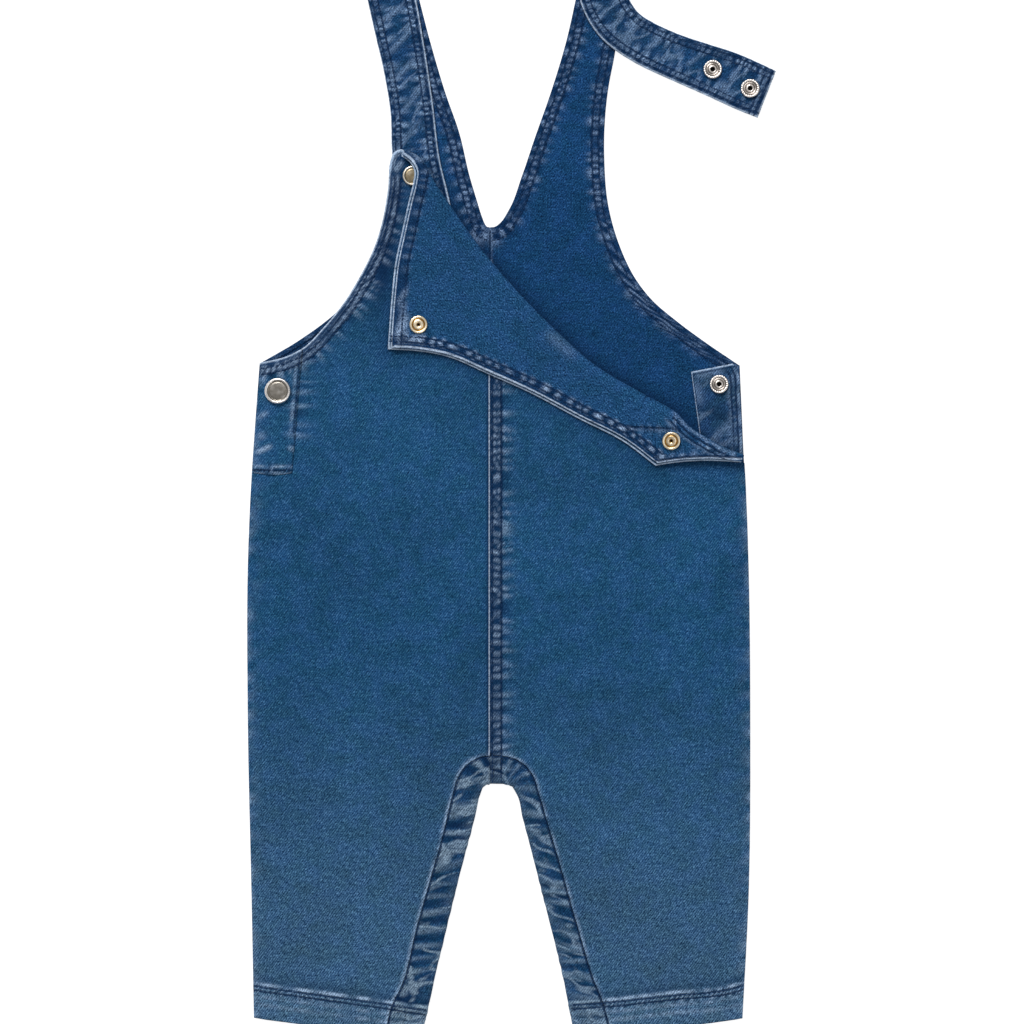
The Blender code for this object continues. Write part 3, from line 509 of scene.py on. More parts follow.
LEFT_STRAP_OUTLINE = np.vstack([Lines.left_strap_outer, Lines.left_strap_inner[::-1]])
BACK_PLACKET_OUTLINE = np.vstack([Lines.back_placket_inner, Lines.back_placket_outer[::-1]])
BACK_OUTLINE = np.vstack(
    [
        Lines.left_side, Lines.back_left_armhole, Lines.neck_left[::-1],
        Lines.neck_right, Lines.back_right_armhole[::-1], Lines.right_side[::-1],
    ]
)


@dataclass(frozen=True)
class Crease:
    """A soft ridge or trough of the cloth along a straight line, paler where it is worn and darker by its
    dark share, which on the front beside the bib is painted shade.
    """

    start: tuple[float, float]
    end: tuple[float, float]
    width: float
    height: float
    wear: float = 0.0
    # How much darker the cloth is along the line; on the front beside the turned-down bib it is painted shade
    dark: float = 0.0

    def share(self, points: Array) -> Array:
        """How much of the crease is at each place: full on its line, fading to sides and ends."""
        start = np.array(self.start)
        way = np.array(self.end) - start
        share = ((points - start) @ way) / (way @ way)
        side = np.linalg.norm(points - start - share[..., None] * way, axis=-1)
        return np.exp(-((side / self.width) ** 2)) * ease(1.5 - np.abs(share - 0.5) * 2)


def creases_of(table: tuple) -> tuple[Crease, ...]:
    """Creases from a table: from across, from up, to across, to up, width, height, wear, dark."""
    return tuple(Crease(row[0:2], row[2:4], *row[4:]) for row in table)


FRONT_FOLDS = creases_of(
    (
        (-118.0, 8.0, -92.0, -30.0, 7.0, 0.6),
        (-98.0, 66.0, -78.0, 30.0, 8.0, 0.5),
        (-60.0, -70.0, -96.0, -190.0, 11.0, 0.7),
        (-108.0, -150.0, -118.0, -262.0, 9.0, 0.6),
        (-36.0, -120.0, -62.0, -96.0, 7.0, 0.6),
        (10.0, -122.0, 34.0, -100.0, 7.0, 0.6),
        (58.0, -60.0, 84.0, -190.0, 11.0, 0.7),
        (104.0, -140.0, 110.0, -258.0, 9.0, 0.6),
        (118.0, 2.0, 82.0, -22.0, 7.0, 0.6),
        (70.0, 4.0, 44.0, -18.0, 8.0, 0.5),
    )
)


def front_level(points: Array) -> Array:
    """Height of the middle of the front cloth.

    It swells from its edges inwards, has soft folds, is pinched down at the side seams, and
    is lifted where a strap or the back placket lies underneath.
    """
    sides = np.minimum(
        away_from(points, Lines.left_side),
        away_from(points, Lines.right_side[Lines.right_side[:, 1] < PLACKET_FOOT]),
    )
    edges = sides
    for line in (Lines.left_armhole, Lines.left_inner_edge, Lines.right_inner_edge):
        edges = np.minimum(edges, away_from(points, line))
    inward = 1 - np.exp(-edges / SWELL_RUN)
    heights = FRONT_LEVEL + SWELL * inward
    heights = heights + sum(fold.height * fold.share(points) for fold in FRONT_FOLDS) * inward
    heights = heights - (FRONT_LEVEL - SIDE_SEAM_LEVEL) * np.exp(-((sides / PINCH_RUN) ** 2))
    over_strap = STRAP_LEVEL + STRAP / 2 + GAP + CLOTH / 2
    over_placket = BACK_PLACKET_LEVEL + CLOTH + GAP
    heights = lifted(heights, points, LEFT_STRAP_OUTLINE, over_strap)
    return lifted(heights, points, BACK_PLACKET_OUTLINE, over_placket)


def roll_radius(across: Array) -> Array:
    """Half the height of the fold's roll at places across the garment."""
    table = np.array(FOLD_ROLL)
    return np.interp(across, table[:, 0], table[:, 1])


def fold_base() -> Array:
    """The line where the front turns up into the roll, inside the outer fold."""
    reach = roll_radius(Lines.fold[:, 0]) + CLOTH / 2 + GAP + FACING
    return Lines.fold - normals_of(Lines.fold) * reach[:, None]


FOLD_BASE = fold_base()


def flap_level(points: Array) -> Array:
    """Height of the middle of the turned-down front cloth: it comes down beside the roll."""
    radius = roll_radius(points[..., 0])
    distance = away_from(points, FOLD_BASE)
    loft = (2 * radius - FLAP_RISE) * np.exp(-((distance / (ROLL_LOFT_RUN * radius)) ** 2))
    heights = front_level(points) + FLAP_RISE + loft
    cap = ring(Snaps.cap_bib.place, Snaps.cap_bib.radius)
    middle = np.array(Snaps.cap_bib.place)[None]
    cap_top = front_level(middle)[0] + CLOTH / 2 + GAP + Snaps.cap_bib.height
    return lifted(heights, points, cap, cap_top + GAP + CLOTH / 2, CAP_MARGIN, CAP_RUN)


def facing_level(points: Array) -> Array:
    """Height of the middle of the facing on the turned-down bib."""
    return flap_level(points) + FACING_RISE


def placket_level(points: Array) -> Array:
    """Height of the middle of the left side placket, whose sewn edges are pressed to the front."""
    sewn = np.minimum(away_from(points, Lines.placket_line), np.abs(points[..., 1] - PLACKET_FOOT))
    return front_level(points) + FACING_RISE - PRESSED * np.exp(-((sewn / PRESSED_RUN) ** 2))


def back_level(points: Array) -> Array:
    """Height of the middle of the back, flat on the floor."""
    return np.full(points.shape[:-1], BACK_LEVEL)


def back_placket_level(points: Array) -> Array:
    """Height of the middle of the back's side placket."""
    return np.full(points.shape[:-1], BACK_PLACKET_LEVEL)


def strap_level(points: Array) -> Array:
    """Height of the middle of a strap that lies on the back and then on the floor.

    It comes down from the roll over the shoulder within a short run.
    """
    level = STRAP / 2 + ON_BACK * cover(points, BACK_OUTLINE)
    top = STRAP / 2 + 2 * SHOULDER_ROLL
    below = Lines.left_strap_outer[0, 1] - points[..., 1]
    return level + (top - level) * np.exp(-((below / SHOULDER_LOFT_RUN) ** 2))


@dataclass(frozen=True)
class Seam:
    """A line of sewing: its stitch rows, the puckers that they draw, and the band they hold.

    Offsets are in millimetres from the line, positive on its left. The rows are the offsets of
    the stitching, and sewn gives the stitches' own where they lie beside it. The band is raised
    cloth: start, end, rise. A rub is a pale line along the seam and a shade a dark one: offset,
    half width, strength. Puckers have a pitch, which shrinks to its tight share between the
    rows, a slant, an uneven strength, and a reach to each side. Wear is how pale their ridges
    are, and ink and pale how dark or how washed the band is; on the armhole band the darkness
    is partly painted shade of the turned-down bib.
    """

    line: Array
    rows: tuple[float, ...]
    pitch: float = 6.8
    height: float = 0.4
    reach_left: float = 5.0
    reach_right: float = 5.0
    wear: float = 0.8
    slant: float = 0.0
    band: tuple[float, float, float] = (0.0, 0.0, 0.0)
    ink_and_shade: float = 0.0
    seed: int = 1
    tight: float = 0.46
    sewn: tuple[float, ...] | None = None
    rubs: tuple[tuple[float, float, float], ...] = ()
    shades: tuple[tuple[float, float, float], ...] = ()
    pale: float = 0.0
    uneven: float = 0.4

    def beyond(self, points: Array) -> Array:
        """How far past the line's ends each place is."""
        first, last = self.line[0] - self.line[1], self.line[-1] - self.line[-2]
        past_first = (points - self.line[0]) @ (first / np.linalg.norm(first))
        past_last = (points - self.line[-1]) @ (last / np.linalg.norm(last))
        near_first = np.linalg.norm(points - self.line[0], axis=-1)
        near_last = np.linalg.norm(points - self.line[-1], axis=-1)
        past = np.where(near_first < near_last, past_first, past_last)
        return np.maximum(past, 0.0)

    def relief(self, points: Array) -> tuple[Array, Array, Array, Array, Array, Array]:
        """What the seam does at each place.

        A pucker is a wave along the seam with an uneven pitch and strength; between the rows
        its pitch is shorter; it fades as exp(-square of the distance) outside the rows.

        Args:
            points: places on the floor.

        Returns:
            Height, wear, dark, the ink and the paleness of the band, and the distance from the
            nearest row.
        """
        across, along = measure(points, self.line)
        beyond = self.beyond(points)
        here = np.exp(-((beyond / SEAM_FADE) ** 2))
        low, high = min(self.rows), max(self.rows)
        left = np.maximum(across - high, 0.0) / self.reach_left
        right = np.maximum(low - across, 0.0) / self.reach_right
        envelope = np.exp(-((left + right) ** 2)) * here
        track = np.stack([along, 0.25 * across], axis=-1)
        wander = 0.3 * ripple(track, 3.1 * self.pitch, self.seed)
        strength = np.clip(0.9 + self.uneven * ripple(track, 2.3 * self.pitch, self.seed + 40), 0.2, 1.5)
        place = along + self.slant * across
        within = ease((np.minimum(across - low, high - across) + 0.4) / 0.8) * (high > low)
        wide = np.sin(2 * math.pi * (place / self.pitch + wander))
        narrow = np.sin(2 * math.pi * (place / (self.tight * self.pitch) + wander))
        wave = wide * (1 - within) + narrow * within
        start, end, rise = self.band
        raised = ease((across - start) / 0.9 + 0.5) * ease((end - across) / 0.9 + 0.5)
        height = self.height * strength * envelope * (0.5 + 0.5 * wave) + rise * raised * here
        ridge = np.clip(0.12 + 0.88 * wave, 0, 1) ** 1.5
        wear = self.wear * strength * envelope * ridge
        dark = strength * envelope * np.clip(-wave, 0, 1)
        patchy = np.clip(0.75 + 0.45 * ripple(track, 1.7 * self.pitch, self.seed + 80), 0.15, 1.1) * here
        for offset, width, amount in self.rubs:
            wear = np.maximum(wear, amount * patchy * np.exp(-(((across - offset) / width) ** 2)))
        for offset, width, amount in self.shades:
            dark = np.maximum(dark, amount * here * np.exp(-(((across - offset) / width) ** 2)))
        row = np.min([np.abs(across - offset) for offset in self.rows], axis=0) + beyond
        return height, wear, dark, self.ink_and_shade * raised * here, self.pale * raised * here, row

    def row_lines(self) -> list[Array]:
        """The stitch rows, as lines."""
        offsets = self.rows if self.sewn is None else self.sewn
        return [self.line + normals_of(self.line) * offset for offset in offsets]


@dataclass(frozen=True)
class Layer:
    """One level of cloth: its height, seams, creases and worn edges.

    Where another piece lies on it, inside the outlines named by under, its relief is pressed
    nearly flat. Edges are rubbed nearly white, over their rolled width, ridges the same but
    narrower, and soft edges a little. Beside the lines named by sheltered, the cloth is darkened
    with painted shadow of the piece that lies over it, by shelter: strength, run. Crumple is the
    height of its slight unevenness. It is as washed as pale says everywhere, and as washed adds
    towards the hem.
    """

    level: Level
    thickness: float
    seams: tuple[Seam, ...] = ()
    creases: tuple[Crease, ...] = ()
    edges: tuple[Array, ...] = ()
    rolled: float = 1.0
    ridges: tuple[Array, ...] = ()
    soft_edges: tuple[Array, ...] = ()
    under: tuple[Array, ...] = ()
    # Painted shadow: the cloth darkens beside the edges of a piece that lies over it
    shadowing_lines: tuple[Array, ...] = ()
    painted_shadow: tuple[float, float] = (0.8, 5.0)
    crumple: float = 0.12
    pale: float = 0.0
    washed: float = 0.0
    seed: int = 3

    def marks(self, points: Array) -> dict[str, Array]:
        """What the sewing does at each place.

        Args:
            points: places on the floor.

        Returns:
            height in millimetres, wear, dark, ink and wash from 0 to 1, and row and edge, the
            distances in millimetres from the nearest stitch row and the nearest worn edge.
        """
        shape = points.shape[:-1]
        height = self.crumple * (1 + 0.6 * ripple(points, 26.0, self.seed))
        height = height + 0.4 * self.crumple * ripple(points, 9.0, self.seed + 1)
        wear, dark, ink_and_shade = np.zeros(shape), np.zeros(shape), np.zeros(shape)
        row, edge = np.full(shape, FAR), np.full(shape, FAR)
        wash = self.pale + self.washed * ease((WASH_START - points[..., 1]) / WASH_RUN)
        # Painted shadow of the piece that lies over the cloth, beside its edges
        for line in self.shadowing_lines:
            most, run = self.painted_shadow
            dark = np.maximum(dark, most * np.exp(-away_from(points, line) / run))
        for seam in self.seams:
            rise, worn, shade, band, bleached, gap = seam.relief(points)
            height = height + rise
            wear, dark, ink_and_shade = np.maximum(wear, worn), np.maximum(dark, shade), np.maximum(ink_and_shade, band)
            wash = np.maximum(wash, bleached)
            row = np.minimum(row, gap)
        for crease in self.creases:
            share = crease.share(points)
            height = height + crease.height * share
            wear = np.maximum(wear, crease.wear * share)
            dark = np.maximum(dark, crease.dark * share)
        for line in self.edges:
            edge = np.minimum(edge, away_from(points, line) / self.rolled)
        for line in self.ridges:
            edge = np.minimum(edge, away_from(points, line) * RIDGE)
        for line in self.soft_edges:
            share = 0.45 + 0.4 * ripple(points, 11.0, self.seed + 7)
            wear = np.maximum(wear, 0.4 * share * np.exp(-away_from(points, line) / 2.5))
        for outline in self.under:
            height = height * (1 - 0.92 * cover(points, outline, 0.5, 3.0))
        values = (height, wear, dark, ink_and_shade, wash, row, edge)
        return {name: np.maximum(value, 0.0) for name, value in zip(("height", *MARKS), values)}

    def top(self, points: Array) -> Array:
        """Height of the cloth's upper face, sewing included."""
        return self.level(points) + self.marks(points)["height"] + self.thickness / 2


class Lean(Enum):
    """Which way the twill's lines lean, seen from above."""

    RIGHT = 1.0
    LEFT = -1.0


def linear(colour: str) -> tuple[float, float, float, float]:
    """An sRGB hex colour as linear red, green, blue and alpha."""
    values = np.array([int(colour[k : k + 2], 16) / 255 for k in (1, 3, 5)])
    values = np.where(values <= 0.04045, values / 12.92, ((values + 0.055) / 1.055) ** 2.4)
    return (*(float(v) for v in values), 1.0)


def fill_inputs(tree: bpy.types.NodeTree, node: bpy.types.Node, inputs: dict) -> None:
    """Gives a node's inputs, by name or number, a socket to link or a value to set."""
    for key, value in inputs.items():
        if isinstance(value, bpy.types.NodeSocket):
            tree.links.new(value, node.inputs[key])
        else:
            node.inputs[key].default_value = value


def add_node(
    tree: bpy.types.NodeTree,
    kind: str,
    *values: object,
    inputs: dict | None = None,
    out: int | str = 0,
    **settings: object,
) -> bpy.types.NodeSocket:
    """Adds a shader node with its settings, input values and links.

    Args:
        tree: the material's node tree.
        kind: the node's type, without the words that all shader nodes start with.
        values: what its first inputs get, in order: sockets to link or values to set.
        inputs: the same for inputs by name or number.
        out: the output that comes back.
        settings: the node's own properties.

    Returns:
        The output socket.
    """
    node = tree.nodes.new(f"ShaderNode{kind}")
    for name, value in settings.items():
        setattr(node, name, value)
    fill_inputs(tree, node, dict(enumerate(values)) | (inputs or {}))
    return node.outputs[out]


def noise_inputs(vector: bpy.types.NodeSocket, size: float, detail: float) -> dict:
    """Inputs of smooth noise from 0 to 1 with patches of a size in millimetres."""
    return {"Vector": vector, "Scale": 1.0 / (size * MM), "Detail": detail, "Roughness": 0.6}


def new_material(name: str) -> tuple[bpy.types.Material, bpy.types.NodeTree, bpy.types.Node]:
    """A new material, its node tree and its shader."""
    material = bpy.data.materials.new(name)
    material.use_nodes = True
    return material, material.node_tree, material.node_tree.nodes["Principled BSDF"]


# Settings of the nodes that the finishes share
TIMES = {"operation": "MULTIPLY"}
TIMES_PLUS = {"operation": "MULTIPLY_ADD"}
LARGER = {"operation": "MAXIMUM"}
LESS = {"operation": "SUBTRACT"}
SMOOTH = {"interpolation_type": "SMOOTHSTEP"}
COLOURS = {"out": 2, "data_type": "RGBA"}


@dataclass(frozen=True)
class Denim:
    """Indigo twill: blue warp over pale weft in fine diagonal lines, washed and matt.

    The deep colour is the bottom of the weave, and also the painted shadow line beside a rolled
    edge; the body colour is what it comes to from a step away, and the speck is the pale weft that
    shows through. Seams and edges are worn to the worn colour.
    """

    name: str
    deep: str
    body: str
    speck: str
    worn: str
    # Colour of the seams' darker bands and of the dark mark, which holds painted shadow beside overlying
    # pieces
    ink_and_shade: str = "#07203F"
    edge: str = "#9DB0C8"
    bleached: str = "#93AFC2"
    # Colour of the painted shade in the stitch rows' grooves
    groove_and_shade: str = "#06203F"
    tints: tuple[str, str] = ("#CCFFF0", "#FBF3FF")
    sheen: str = "#5F8CC0"
    lean: Lean = Lean.RIGHT
    mottle: float = 1.0
    veins: float = 0.0
    vein_angle: float = 0.0
    vein_size: float = 7.0
    roughness: float = 0.86

    # Twill lines 0.6 mm apart are too fine to show, so they are drawn 1.15 mm apart, and the
    # yarn's slubs 0.9 mm wide. The lines stand at an angle in degrees, and the relief is 0.22 mm
    # deep
    pitch: float = 1.15
    slub: float = 0.9
    angle: float = 36.0
    depth: float = 0.22
    twill: float = 1.0
    contrast: float = 1.6
    patches: float = 0.8

    def make(self) -> bpy.types.Material:
        """Builds the material.

        Returns:
            The material, whose colour and bump come from Object coordinates and from the
            piece's own attributes, named in MARKS.
        """
        material, tree, shader = new_material(self.name)
        node = partial(add_node, tree)
        place = node("TexCoord", out="Object")
        lean = node("Mapping", inputs={"Vector": place, "Scale": (self.lean.value, 1.0, 0.0)})
        turned = node("Mapping", inputs={"Vector": lean, "Rotation": (0.0, 0.0, math.radians(self.angle))})
        slubs = node("Mapping", inputs={"Vector": turned, "Scale": (1.0, 0.45, 0.0)})
        weft = node("Mapping", inputs={"Vector": place, "Scale": (0.28, 1.0, 0.0)})
        lines = node(
            "TexWave",
            inputs={
                "Vector": turned, "Scale": 2 * math.pi / 20 / (self.pitch * MM), "Distortion": 3.4,
                "Detail": 2.0, "Detail Scale": 3.0, "Detail Roughness": 0.6,
            },
            out="Fac",
            bands_direction="X",
        )
        noises = (
            (slubs, self.slub, 3.0), (lean, 0.85, 2.0), (weft, 1.7, 3.0), (lean, 11.0, 4.0),
            (lean, 70.0, 2.0),
        )
        grain, fine, streak, patch, broad = (node("TexNoise", inputs=noise_inputs(*row)) for row in noises)
        wear, dark, ink_and_shade, wash, row, edge = (
            node("Attribute", out="Fac", attribute_name=name) for name in MARKS
        )

        # The weave adds up its twill lines, slubs, fine grain and streaks
        weave = 0.0
        for value, share in (
            (lines, 0.12 * self.twill), (grain, 0.36 * self.twill),
            (fine, 0.87 - 0.48 * self.twill), (streak, 0.13),
        ):
            weave = node("Math", value, share, weave, **TIMES_PLUS)
        colour = linear(self.deep)
        for start, end, tone in ((0.34, 0.5, self.body), (0.5, 0.67, self.speck)):
            share = node("MapRange", weave, start, end, **SMOOTH)
            colour = node("Mix", share, inputs={6: colour, 7: linear(tone)}, **COLOURS)

        # The wash leaves soft patches, some greener and some more violet
        share = node("MapRange", patch, 0.35, 0.65, **SMOOTH)
        tint = node("Mix", share, inputs={6: linear(self.tints[0]), 7: linear(self.tints[1])}, **COLOURS)
        tinted = {6: colour, 7: tint}
        colour = node("Mix", 0.5 * self.mottle, inputs=tinted, blend_type="MULTIPLY", **COLOURS)
        light = node("Math", broad, 0.7 * self.mottle, 1.0 - 0.8 * self.mottle, **TIMES_PLUS)
        light = node("Math", patch, 0.9 * self.mottle, light, **TIMES_PLUS)
        colour = node("HueSaturation", inputs={"Value": light, "Color": colour})

        # Veins are the middle heights of a noise, broken up and joined to patches by a second
        rubbed = wear
        if self.veins:
            turn = (0.0, 0.0, -math.radians(self.vein_angle))
            along = node("Mapping", inputs={"Vector": place, "Rotation": turn})
            along = node("Mapping", inputs={"Vector": along, "Scale": (0.42, 1.0, 0.0)})
            crease = node("TexNoise", inputs=noise_inputs(along, self.vein_size, 0.4))
            blotch = node("TexNoise", inputs=noise_inputs(along, 1.3 * self.vein_size, 2.0))
            apart = node("Math", node("Math", crease, 0.5, **LESS), operation="ABSOLUTE")
            vein = node("MapRange", apart, 0.075, 0.01, **SMOOTH)
            vein = node("Math", vein, node("MapRange", blotch, 0.4, 0.52, **SMOOTH), **TIMES)
            area = node("MapRange", blotch, 0.54, 0.66, **SMOOTH)
            vein = node("Math", vein, node("Math", area, self.patches, **TIMES), **LARGER)
            rubbed = node("Math", rubbed, node("Math", vein, self.veins, **TIMES), **LARGER)

        # Pale ridges and washed places are broken up by the weave, as only the raised yarns are
        # rubbed. Rolled edges and the painted shade in the stitch rows' grooves are uneven along the streaks
        rim = node("MapRange", edge, 1.15, 0.35, **SMOOTH)
        groove_and_shade = node("MapRange", row, 0.75, 0.15, **SMOOTH)
        worn, bleached, rim, groove_and_shade = (
            node("Math", share, node("Math", pattern, gain, lift, **TIMES_PLUS), use_clamp=True, **TIMES)
            for share, pattern, gain, lift in (
                (rubbed, weave, 4.2, -1.35), (wash, weave, 8.0, -3.0),
                (rim, streak, 1.7, -0.1), (groove_and_shade, streak, 1.8, 0.05),
            )
        )

        # A rolled edge is rubbed nearly white, with a painted shadow line in the deep colour just past it,
        # where it meets the cloth
        apart = node("Math", node("Math", edge, 1.7, **LESS), operation="ABSOLUTE")
        beside = node("Math", node("MapRange", apart, 0.8, 0.1, **SMOOTH), 0.65, **TIMES)
        for share, tone in (
            # The dark mark, mixed towards the ink colour, holds the puckers' deep troughs and the painted
            # shadow and shade beside the turned-down bib
            (bleached, self.bleached), (ink_and_shade, self.ink_and_shade), (node("Math", dark, 0.6, **TIMES), self.ink_and_shade),
            (worn, self.worn), (beside, self.deep), (rim, self.edge),
            # Painted shade in the stitch rows' grooves
            (node("Math", groove_and_shade, 0.85, **TIMES), self.groove_and_shade),
        ):
            colour = node("Mix", share, inputs={6: colour, 7: linear(tone)}, **COLOURS)

        # The weave shows through whatever lies over it, most where the denim is washed pale
        contrast = node("Math", wash, 15.0, self.contrast, **TIMES_PLUS)
        grainy = node("Math", node("Math", weave, 0.5, **LESS), contrast, 1.0, **TIMES_PLUS)
        colour = node("HueSaturation", inputs={"Value": grainy, "Color": colour})
        relief = node("Math", groove_and_shade, -1.6, weave, **TIMES_PLUS)
        relief = node("Math", rubbed, 0.8, relief, **TIMES_PLUS)
        bump = node("Bump", inputs={"Height": relief, "Distance": self.depth * MM})
        sheen = {"Sheen Weight": 0.015, "Sheen Tint": linear(self.sheen), "Sheen Roughness": 0.6}
        gloss = {"Roughness": self.roughness, "IOR": 1.45, "Specular IOR Level": 0.05}
        fill_inputs(tree, shader, {"Base Color": colour, "Normal": bump, **gloss, **sheen})
        return material


@dataclass(frozen=True)
class Thread:
    """Navy polyester thread, a little glossier than the cloth."""

    name: str = "navy_thread"
    colour: str = "#0A2244"
    lit: str = "#173961"

    # The length of a twist of the yarn and its depth, in millimetres
    twist: float = 1 / 2.6
    depth: float = 0.08

    def make(self) -> bpy.types.Material:
        """Builds the material, with the twist of the yarn as a fine bump."""
        material, tree, shader = new_material(self.name)
        node = partial(add_node, tree)
        scale = 1.0 / (self.twist * MM)
        twist = node("TexNoise", inputs={"Vector": node("TexCoord", out="Object"), "Scale": scale})
        colour = node("Mix", twist, inputs={6: linear(self.colour), 7: linear(self.lit)}, **COLOURS)
        bump = node("Bump", inputs={"Height": twist, "Distance": self.depth * MM})
        gloss = {"Roughness": 0.6, "Specular IOR Level": 0.12}
        fill_inputs(tree, shader, {"Base Color": colour, "Normal": bump, **gloss})
        return material


@dataclass(frozen=True)
class Plating:
    """A plated metal of a pressed snap, bright on its rims and dull in its dish."""

    name: str
    bright: str
    dull: str
    roughness: float = 0.3
    # Black of the painted shade in a snap's hole
    hole: str = "#0B0A0A"

    # The size of its stains and their depth, in millimetres
    stain: float = 1 / 0.35
    depth: float = 0.02

    def make(self) -> bpy.types.Material:
        """Builds the material: dull in the grooves and black in the hole as painted shade, by the dull
        attribute.
        """
        material, tree, shader = new_material(self.name)
        node = partial(add_node, tree)
        place = node("TexCoord", out="Object")
        fine = node("TexNoise", inputs={"Vector": place, "Scale": 1.0 / (self.stain * MM), "Detail": 2.0})
        dull = node("Attribute", out="Fac", attribute_name="dull")
        share = node("MapRange", node("Math", dull, fine, operation="ADD"), 0.5, 1.5, **SMOOTH)
        colour = node("Mix", share, inputs={6: linear(self.bright), 7: linear(self.dull)}, **COLOURS)
        # Painted shade: from a dullness of 1.3 up the metal goes black in the hole
        share = node("MapRange", dull, 1.3, 1.9, **SMOOTH)
        colour = node("Mix", share, inputs={6: colour, 7: linear(self.hole)}, **COLOURS)
        bump = node("Bump", inputs={"Height": fine, "Distance": self.depth * MM})
        gloss = {"Metallic": 1.0, "Roughness": self.roughness}
        fill_inputs(tree, shader, {"Base Color": colour, "Normal": bump, **gloss})
        return material


# The right side is washed palest and the facings' twill leans the other way. The inside is
# darker, and puckers leave pale veins on the straps and the back placket, and most on the
# inner-leg strips
FACE = Denim("washed_denim_face", "#09284B", "#194266", "#3C6587", "#8DA4BF", edge="#A6B7CC")
REVERSE = Denim(
    "denim_facing", "#0A2649", "#193F65", "#355A7F", "#89A0BE", edge="#A6B7CC", lean=Lean.LEFT, mottle=0.9,
    twill=0.4, contrast=3.0,
)
INSIDE = Denim("denim_inside", "#061F42", "#11375E", "#284F77", "#7088A8", twill=0.6, contrast=3.0)
BAND = Denim(
    "strap_denim", "#06203F", "#113356", "#294F77", "#7C96B6", edge="#A6B7CC", veins=0.42, vein_angle=42.0,
    vein_size=7.5, patches=0.1, twill=0.7, contrast=2.2,
)
LAPEL = Denim(
    "placket_denim", "#061D3C", "#133558", "#2C547C", "#7C94B1", mottle=1.6, veins=0.3, vein_angle=50.0,
    vein_size=13.0,
)
STRIP_LEFT = Denim(
    "puckered_strip_left", "#07233F", "#113456", "#285377", "#8399AC", mottle=1.2, veins=0.76,
    vein_angle=18.0, vein_size=8.0,
)
STRIP_RIGHT = replace(STRIP_LEFT, name="puckered_strip_right", worn="#7E96AC", veins=0.66, vein_angle=-18.0)
THREAD = Thread()

# Pewter and nickel shine grey, brass pale yellow, and aged brass lies between them
PEWTER = Plating("antique_pewter", "#E8E2DD", "#8C867D", 0.32)
NICKEL = Plating("bright_nickel", "#E2DAD3", "#7D746D", 0.36)
BRASS = Plating("pale_brass", "#F0E0C2", "#A9803A", 0.34)
AGED = Plating("aged_brass", "#E4DBCB", "#857860", 0.36)


def add_piece(name: str, mesh: bpy.types.Mesh, material: bpy.types.Material) -> bpy.types.Object:
    """A named piece at the origin, with its material, riding on the garment.

    Args:
        name: the piece's name.
        mesh: its mesh, in place.
        material: its material.

    Returns:
        The piece.
    """
    piece = bpy.data.objects.new(name, mesh)
    mesh.materials.append(material)
    bpy.context.scene.collection.objects.link(piece)
    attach(piece, BODY)
    LOG.info("%s: %d faces", name, len(mesh.polygons))
    return piece


def tidy_mesh(mesh: bpy.types.Mesh, weld: float = 0.0) -> None:
    """Merges points closer than weld, in millimetres, and turns all faces outwards."""
    work = bmesh.new()
    work.from_mesh(mesh)
    if weld:
        bmesh.ops.remove_doubles(work, verts=work.verts, dist=weld * MM)
    bmesh.ops.recalc_face_normals(work, faces=work.faces)
    work.to_mesh(mesh)
    work.free()
    mesh.shade_smooth()


def fill_mesh(name: str, points: Array, faces: Array, marks: dict[str, Array]) -> bpy.types.Mesh:
    """A mesh of quads with attributes.

    Args:
        name: its name.
        points: its points, in millimetres.
        faces: four indices a quad.
        marks: attribute names to one value a point.

    Returns:
        The mesh.
    """
    mesh = bpy.data.meshes.new(name)
    mesh.vertices.add(len(points))
    mesh.vertices.foreach_set("co", (points * MM).astype(np.float32).ravel())
    mesh.loops.add(faces.size)
    mesh.loops.foreach_set("vertex_index", faces.astype(np.int32).ravel())
    mesh.polygons.add(len(faces))
    mesh.polygons.foreach_set("loop_start", np.arange(0, faces.size, 4, dtype=np.int32))
    for mark, values in marks.items():
        mesh.attributes.new(mark, "FLOAT", "POINT").data.foreach_set("value", values.astype(np.float32))
    mesh.update(calc_edges=True)
    return mesh


def quads_of(rows: int, lanes: int, first: int = 0) -> Array:
    """The quads of a grid whose points are numbered row by row from first."""
    corner = first + np.arange(rows - 1)[:, None] * lanes + np.arange(lanes - 1)[None]
    return np.stack([corner, corner + 1, corner + lanes + 1, corner + lanes], axis=-1).reshape(-1, 4)


